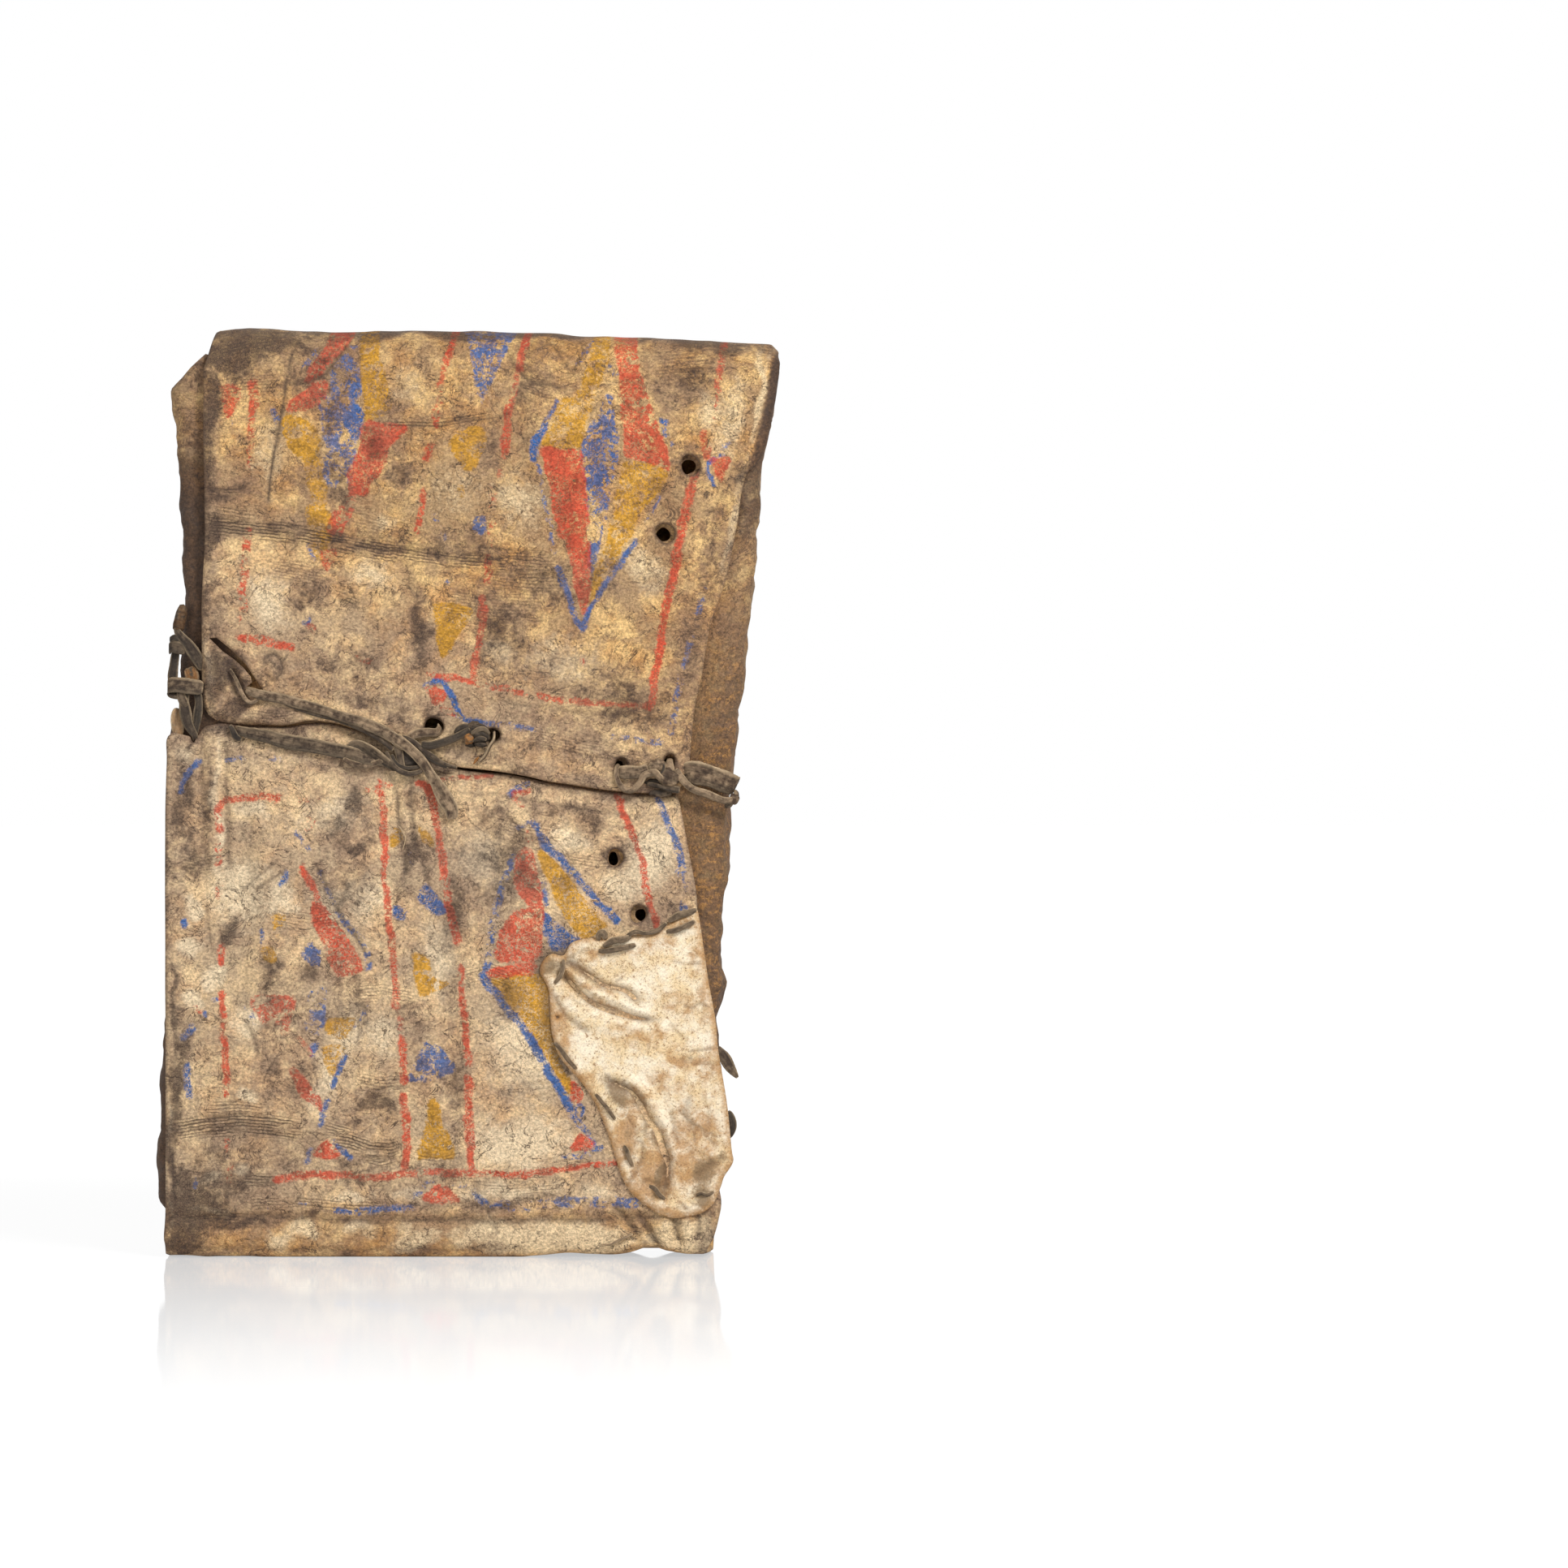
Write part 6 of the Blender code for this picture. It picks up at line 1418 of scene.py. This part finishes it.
def patch_material(settings):
    """Pale scraped rawhide with brown pits and fine veins."""
    s = Shader("pale_patch_hide")
    place = s.stored("place")[0]
    wear_and_shading, fold = (s.stored(name)[1] for name in ("wear_and_shading", "fold"))
    broad, middle, small = (s.noise(place, 26, 3), s.noise(place, 9, 4, 0.6), s.noise(place, 3.2, 4, 0.7))
    grain, pit = (s.noise(place, 1.4, 3, 0.6), s.noise(place, 2.2, 3, 0.75, 0.4))
    base = s.mix(s.step(broad * 0.5 + middle * 0.5, 0.4, 0.62), settings.pale, settings.cream)
    stain = wear_and_shading[2] + (s.noise(place, 7, 6, 0.66, 0.5) - 0.5) * 1.6
    base = s.mix(s.step(stain, 0.2, 0.85, 0, 0.85), base, settings.tan)
    base = s.mix(s.step(pit, 0.55, 0.64) * s.maths("MAXIMUM", s.step(middle, 0.4, 0.56, 0.25, 0.9),
                                                   wear_and_shading[2]), base, settings.pits)
    base = s.mix(s.step(grain, 0.56, 0.74, 0, 0.35), base, settings.pits)
    vein = s.step(s.vein(place, 11, 5, 0.62, 0.6), 0, 0.016, 1, 0)
    base = s.mix(vein * s.step(broad, 0.4, 0.6, 0.2, 0.8), base, settings.pits)
    grey = wear_and_shading[0] + (small - 0.5) * 0.7
    base = s.mix(s.step(grey, 0.3, 0.75, 0, 0.9), base, settings.grey)
    # Painted shade and grime in the patch's creases
    base = s.mix(fold[0] * s.step(small, 0.2, 0.6, 0.7, 1), base, settings.dark)
    base = s.mix(fold[1] * s.step(small, 0.3, 0.6, 0.4, 0.9), base, settings.tan)
    base = s.scaled(base, s.step(grain, 0.34, 0.66, 0.82, 1.08))
    height = small * 1.0 + grain * 0.5
    height -= s.step(pit, 0.6, 0.7) * 0.25
    return s.finish(base, s.step(middle, 0.3, 0.7, 0.6, 0.74), height, 0.7, 0.8, 0.35)


def build_patch(look, leather):
    """The pale patch over the lower flap's corner, with its lacing."""
    spacing = 1.5
    outline = curved(PATCH_EDGE, spacing, closed=True)
    flat, faces, edge = cut_hide(outline[::-1], [hole_ring(*PATCH_HOLE, 3)[::-1]],
                                 guides(PATCH_CREASES, [], spacing), spacing)
    x, h = flat.T
    under = pressed(x, h, LOWER_CREASES[:1], 41)[0]
    lift, dark = pressed(x, h, PATCH_CREASES, 91, 0.5)
    lift = 3.4 + under * 0.9 + lift - 1.5 * fading(edge, 0, 3.2) + 0.7 * peak(edge, 4.5, 3)
    places = np.column_stack([x, FRONT - lift, h])
    thing = hide_object("patch_skin", faces, places, 2.0, look, {
        "place": (x, h, 0),
        "wear_and_shading": (patched(x, h, PATCH_GREY, 93), 0, patched(x, h, PATCH_TAN, 95)),
        "fold": (dark, 0.95 * fading(edge, 0.5, 5.5), 0)})
    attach(thing, "lower_flap")
    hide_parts("patch")
    for number, parts in enumerate(STITCHES, 1):
        stitch = Leather()
        for k, rows in enumerate(parts):
            x, z, out, wide = np.array(rows).T
            out = out + pressed(x, z, [], 41)[0] * 0.9
            stitch.strip(np.column_stack([x, z, out, wide]), 2.2, (0.35, 0.1, 0), 0.4,
                         100 + 7 * number + k)
        stitch.made(f"lacing_{number}", "lower_flap", leather, f"patch_stitch_{number}")
    tab = Leather().strip([(169, 143, 0.4, 4), (174, 136, 0.6, 8), (178, 129, 0.2, 7),
        (183, 122, -0.4, 2.6)], 2.4, (0.5, 0, 0), 0.3, 180)
    tab.made("edge_tab_upper", "lower_flap", leather, "edge_tab_1")
    tab = Leather().strip([(176, 99, -0.4, 5), (179, 93, -0.6, 6), (179, 87, -0.8, 6),
        (177, 81, -1.2, 3)], 2.6, DARKER, 0.3, 181)
    tab.made("edge_tab_lower", "lower_flap", leather, "edge_tab_2")
    thread = Leather().strip([(91, 9, 1, 1.2), (97, 9, 2, 1.8), (103, 12, 2.2, 2),
        (112, 16, 1.2, 1.6)], 1.3, (0, 0.5, 0), 0, 182)
    thread.made("loose_thread", "root", leather)
    thread = Leather().strip([(-47, 293, 0.2, 0.5), (-44, 289, 1, 0.7), (-42, 284, 1.2, 0.7),
        (-44, 276, 0.6, 0.5)], 0.5, (0, 1.6, 0), 0, 183)
    thread.made("white_thread", "lower_flap", leather)


# ---- Stage

def aimed_light(name, place, target, size, power):
    """A soft square light that points at a place."""
    light = bpy.data.lights.new(name, "AREA")
    light.energy, light.size = power, size
    thing = bpy.data.objects.new(name, light)
    thing.location = place
    thing.rotation_euler = (Vector(target) - Vector(place)).to_track_quat("-Z", "Y").to_euler()
    bpy.context.scene.collection.objects.link(thing)


def floor_material(settings):
    """A white ground that takes the case's shadow and a faint mirror image of its foot."""
    s = Shader("white_ground")
    place = s.value("ShaderNodeTexCoord", {}, "Object")
    near = s.value("ShaderNodeSeparateXYZ", {0: place}, 1)
    away = s.value("ShaderNodeVectorMath", {0: place}, "Value", operation="LENGTH")
    lit = s.value("ShaderNodeBsdfDiffuse", {"Color": (0.9, 0.9, 0.9, 1)})
    seen = s.value("ShaderNodeEmission", {"Color": (1, 1, 1, 1), "Strength": 1.12})
    mirror = s.value("ShaderNodeBsdfGlossy", {"Color": (1, 1, 1, 1),
                                              "Roughness": s.step(s.noise(place, 0.05), 0, 1, 0.05, 0.08)})
    camera = s.value("ShaderNodeLightPath", {}, "Is Camera Ray")
    white = s.value("ShaderNodeMixShader", {0: s.step(away, 0.5, 1.8, settings.shadow, 0), 1: seen, 2: lit})
    fade = s.step(near, -1.3, 0.1, 0, settings.reflection)
    white = s.value("ShaderNodeMixShader", {0: fade, 1: white, 2: mirror})
    return s.surface(s.value("ShaderNodeMixShader", {0: camera, 1: lit, 2: white}))


def build_stage(settings):
    """Floor, soft studio light, white surroundings and the camera."""
    size = 40.0
    mesh = bpy.data.meshes.new("floor")
    corners = [(-size, -size, 0), (size, -size, 0), (size, size, 0), (-size, size, 0)]
    mesh.from_pydata(corners, [], [(0, 1, 2, 3)])
    mesh.materials.append(floor_material(settings))
    floor = bpy.data.objects.new("floor", mesh)
    bpy.context.scene.collection.objects.link(floor)
    aimed_light("key_light", (1.3, -1.9, 1.9), (0, 0, 0.33), 0.8, settings.key)
    aimed_light("fill_light", (-2.0, -2.4, 1.0), (0, 0, 0.3), 2.2, settings.fill)
    world = bpy.data.worlds.new("studio")
    world.use_nodes = True
    tree = world.node_tree
    tree.nodes.clear()
    path = tree.nodes.new("ShaderNodeLightPath")
    sharp = tree.nodes.new("ShaderNodeMath")
    sharp.operation = "MAXIMUM"
    shown, lighting, both = (tree.nodes.new(kind) for kind in
                             ("ShaderNodeBackground", "ShaderNodeBackground", "ShaderNodeMixShader"))
    out = tree.nodes.new("ShaderNodeOutputWorld")
    shown.inputs[0].default_value, shown.inputs[1].default_value = (1, 1, 1, 1), 1.0
    lighting.inputs[0].default_value, lighting.inputs[1].default_value = (1, 1, 1, 1), settings.ambient
    tree.links.new(path.outputs["Is Camera Ray"], sharp.inputs[0])
    tree.links.new(path.outputs["Is Glossy Ray"], sharp.inputs[1])
    tree.links.new(sharp.outputs[0], both.inputs[0])
    tree.links.new(lighting.outputs[0], both.inputs[1])
    tree.links.new(shown.outputs[0], both.inputs[2])
    tree.links.new(both.outputs[0], out.inputs[0])
    scene = bpy.context.scene
    scene.world = world
    scene.view_settings.view_transform = "Standard"
    lens = bpy.data.cameras.new("camera")
    lens.sensor_width, lens.lens = 36, 135.5
    lens.clip_end = 200
    camera = bpy.data.objects.new("camera", lens)
    camera.location = (0.2145, FRONT * MM - 4.0, 0.321)
    camera.rotation_euler = (math.pi / 2, 0, 0)
    scene.collection.objects.link(camera)
    scene.camera = camera


# ---- Settings, operators and panel

def tint(label, code, about):
    """A colour that can be set, with its first value written as it should look."""
    return FloatVectorProperty(name=label, description=about, default=colour(code), subtype="COLOR",
                               size=4, min=0.0, max=1.0)


class HideSettings(bpy.types.PropertyGroup):
    """The hides' make and the colours of hide, grime and paint."""
    thickness: FloatProperty(name="Thickness", description="Thickness of the rawhide", default=0.003,
                             unit="LENGTH")
    spacing: FloatProperty(name="Mesh spacing", description="Distance between the hide's mesh points",
                           default=0.002, unit="LENGTH")
    unevenness: FloatProperty(name="Unevenness", description="How strongly the hide bulges and dips",
                              default=1.4, subtype="FACTOR")
    light: tint("Light hide", "#EBC488", "Lighter mottling of the hide")
    tan: tint("Tan hide", "#C9965E", "Darker mottling of the hide")
    # Also the colour of the painted highlights on ridges and on the curl's rim
    pale: tint("Scraped hide", "#F4DBB0", "Pale scraped places and veins")
    warm: tint("Warm hide", "#B88546", "Orange-tan places")
    brown: tint("Brown specks", "#7A5A3F", "Small brown specks")
    grey: tint("Grime", "#866C59", "Grey-brown grime")
    # Also the colour of painted shade: in creases and wrinkles, under the curl, along the seams, beside the
    # patch and on the left wall
    dark: tint("Dark grime", "#43332A", "Dark grime and painted shade in creases")
    wall: tint("Wall", "#4D3827", "Brown of the side walls")
    red: tint("Red paint", "#CF4A30", "Red earth paint")
    ochre: tint("Ochre paint", "#D0961C", "Yellow ochre paint")
    blue: tint("Blue paint", "#125A9E", "Blue paint")


class LeatherSettings(bpy.types.PropertyGroup):
    """The colours of the soft leather ties."""
    leather: tint("Leather", "#917A60", "Lighter leather")
    worn: tint("Worn leather", "#4F3E30", "Darker leather")
    # Also the colour of the painted shade on the strips' lower sides and in the lumps' dents
    grimy: tint("Dark leather", "#2A2520", "Dark, handled leather")
    cut: tint("Cut edge", "#BBA280", "Pale cut edges")
    tanned: tint("Tan leather", "#A06C38", "Orange-tan places")


class PatchSettings(bpy.types.PropertyGroup):
    """The colours of the pale patch."""
    pale: tint("Pale", "#FCEDD2", "Paler hide")
    cream: tint("Cream", "#ECD1A4", "Creamier hide")
    tan: tint("Tan", "#B98A55", "Tan places and edges")
    pits: tint("Pits", "#A27C58", "Brown pits and veins")
    grey: tint("Grey", "#8C7354", "Greyed places")
    dark: tint("Dark", "#6A4F36", "Creases")


class StageSettings(bpy.types.PropertyGroup):
    """Light and ground."""
    key: FloatProperty(name="Key light", description="Power of the key light", default=58.0, unit="POWER")
    fill: FloatProperty(name="Fill light", description="Power of the fill light", default=22.0,
                        unit="POWER")
    ambient: FloatProperty(name="Ambient", description="Strength of the even light around", default=0.30,
                           subtype="FACTOR")
    shadow: FloatProperty(name="Shadow share", description="How much of the ground is lit by the lamps",
                          default=0.2, subtype="FACTOR")
    reflection: FloatProperty(name="Reflection", description="Strength of the ground's mirror image",
                              default=0.42, subtype="FACTOR")


class CaseSettings(bpy.types.PropertyGroup):
    """Everything that can be set on the case."""
    hide: PointerProperty(type=HideSettings, name="Hide", description="Hides and paint")
    leather: PointerProperty(type=LeatherSettings, name="Leather", description="Ties")
    patch: PointerProperty(type=PatchSettings, name="Patch", description="Repair patch")
    stage: PointerProperty(type=StageSettings, name="Stage", description="Light and ground")


def hide_looks(settings):
    """The hide's two materials, made once and then shared."""
    made = [bpy.data.materials.get(name) for name in ("painted_rawhide", "raw_inner_hide")]
    return made if all(made) else [hide_material(settings), inner_material(settings)]


def leather_look(context):
    """The leather's material, made once and then shared."""
    return bpy.data.materials.get("soft_leather") or leather_material(context.scene.rawhide_case.leather)


class CASE_OT_upper_hide(bpy.types.Operator):
    """Builds the top fold and the upper end flap"""
    bl_idname, bl_label = "rawhide_case.upper_hide", "Upper hide"

    def execute(self, context):
        settings = context.scene.rawhide_case.hide
        build_upper_hide(settings, hide_looks(settings))
        return {"FINISHED"}


class CASE_OT_lower_hide(bpy.types.Operator):
    """Builds the bottom fold and the lower end flap"""
    bl_idname, bl_label = "rawhide_case.lower_hide", "Lower hide"

    def execute(self, context):
        settings = context.scene.rawhide_case.hide
        build_lower_hide(settings, hide_looks(settings))
        return {"FINISHED"}


class CASE_OT_wrap(bpy.types.Operator):
    """Builds the back, the walls and the inner side flaps"""
    bl_idname, bl_label = "rawhide_case.wrap", "Back and sides"

    def execute(self, context):
        settings = context.scene.rawhide_case.hide
        build_wrap(settings, hide_looks(settings))
        return {"FINISHED"}


class CASE_OT_front_tie(bpy.types.Operator):
    """Builds the straps, the knot and its tail"""
    bl_idname, bl_label = "rawhide_case.front_tie", "Front tie"

    def execute(self, context):
        build_front_tie(leather_look(context))
        return {"FINISHED"}


class CASE_OT_toggle(bpy.types.Operator):
    """Builds the dark strap with its toggle knot"""
    bl_idname, bl_label = "rawhide_case.toggle", "Toggle"

    def execute(self, context):
        build_toggle(leather_look(context))
        return {"FINISHED"}


class CASE_OT_right_tie(bpy.types.Operator):
    """Builds the tie at the upper flap's corner"""
    bl_idname, bl_label = "rawhide_case.right_tie", "Right tie"

    def execute(self, context):
        build_right_tie(leather_look(context))
        return {"FINISHED"}


class CASE_OT_edge_ties(bpy.types.Operator):
    """Builds the thongs round the left edge"""
    bl_idname, bl_label = "rawhide_case.edge_ties", "Edge ties"

    def execute(self, context):
        build_edge_ties(leather_look(context))
        return {"FINISHED"}


class CASE_OT_patch(bpy.types.Operator):
    """Builds the laced patch"""
    bl_idname, bl_label = "rawhide_case.patch", "Patch"

    def execute(self, context):
        settings = context.scene.rawhide_case
        inner = bpy.data.materials.get("raw_inner_hide") or inner_material(settings.hide)
        build_patch([patch_material(settings.patch), inner], leather_look(context))
        return {"FINISHED"}


class CASE_OT_stage(bpy.types.Operator):
    """Builds the ground, the lights and the camera"""
    bl_idname, bl_label = "rawhide_case.stage", "Stage"

    def execute(self, context):
        build_stage(context.scene.rawhide_case.stage)
        return {"FINISHED"}


OPERATORS = (CASE_OT_upper_hide, CASE_OT_lower_hide, CASE_OT_wrap, CASE_OT_front_tie, CASE_OT_toggle,
             CASE_OT_right_tie, CASE_OT_edge_ties, CASE_OT_patch, CASE_OT_stage)
GROUPS = (HideSettings, LeatherSettings, PatchSettings, StageSettings, CaseSettings)


class CASE_PT_panel(bpy.types.Panel):
    """The case's settings and its building steps"""
    bl_idname, bl_label = "CASE_PT_panel", "Rawhide case"
    bl_space_type, bl_region_type, bl_category = "VIEW_3D", "UI", "Rawhide case"

    def draw(self, context):
        settings = context.scene.rawhide_case
        for name in ("hide", "leather", "patch", "stage"):
            box = self.layout.box()
            group = getattr(settings, name)
            for key in group.bl_rna.properties.keys():
                if key not in ("rna_type", "name"):
                    box.prop(group, key)
        for operator in OPERATORS:
            self.layout.operator(operator.bl_idname)


def register():
    for kind in GROUPS + OPERATORS + (CASE_PT_panel,):
        bpy.utils.register_class(kind)
    bpy.types.Scene.rawhide_case = PointerProperty(type=CaseSettings)


def unregister():
    del bpy.types.Scene.rawhide_case
    for kind in reversed(GROUPS + OPERATORS + (CASE_PT_panel,)):
        bpy.utils.unregister_class(kind)


def main():
    register()
    bpy.ops.rawhide_case.upper_hide()
    bpy.ops.rawhide_case.lower_hide()
    bpy.ops.rawhide_case.wrap()
    bpy.ops.rawhide_case.front_tie()
    bpy.ops.rawhide_case.toggle()
    bpy.ops.rawhide_case.right_tie()
    bpy.ops.rawhide_case.edge_ties()
    bpy.ops.rawhide_case.patch()
    bpy.ops.rawhide_case.stage()


if __name__ == "__main__":
    main()
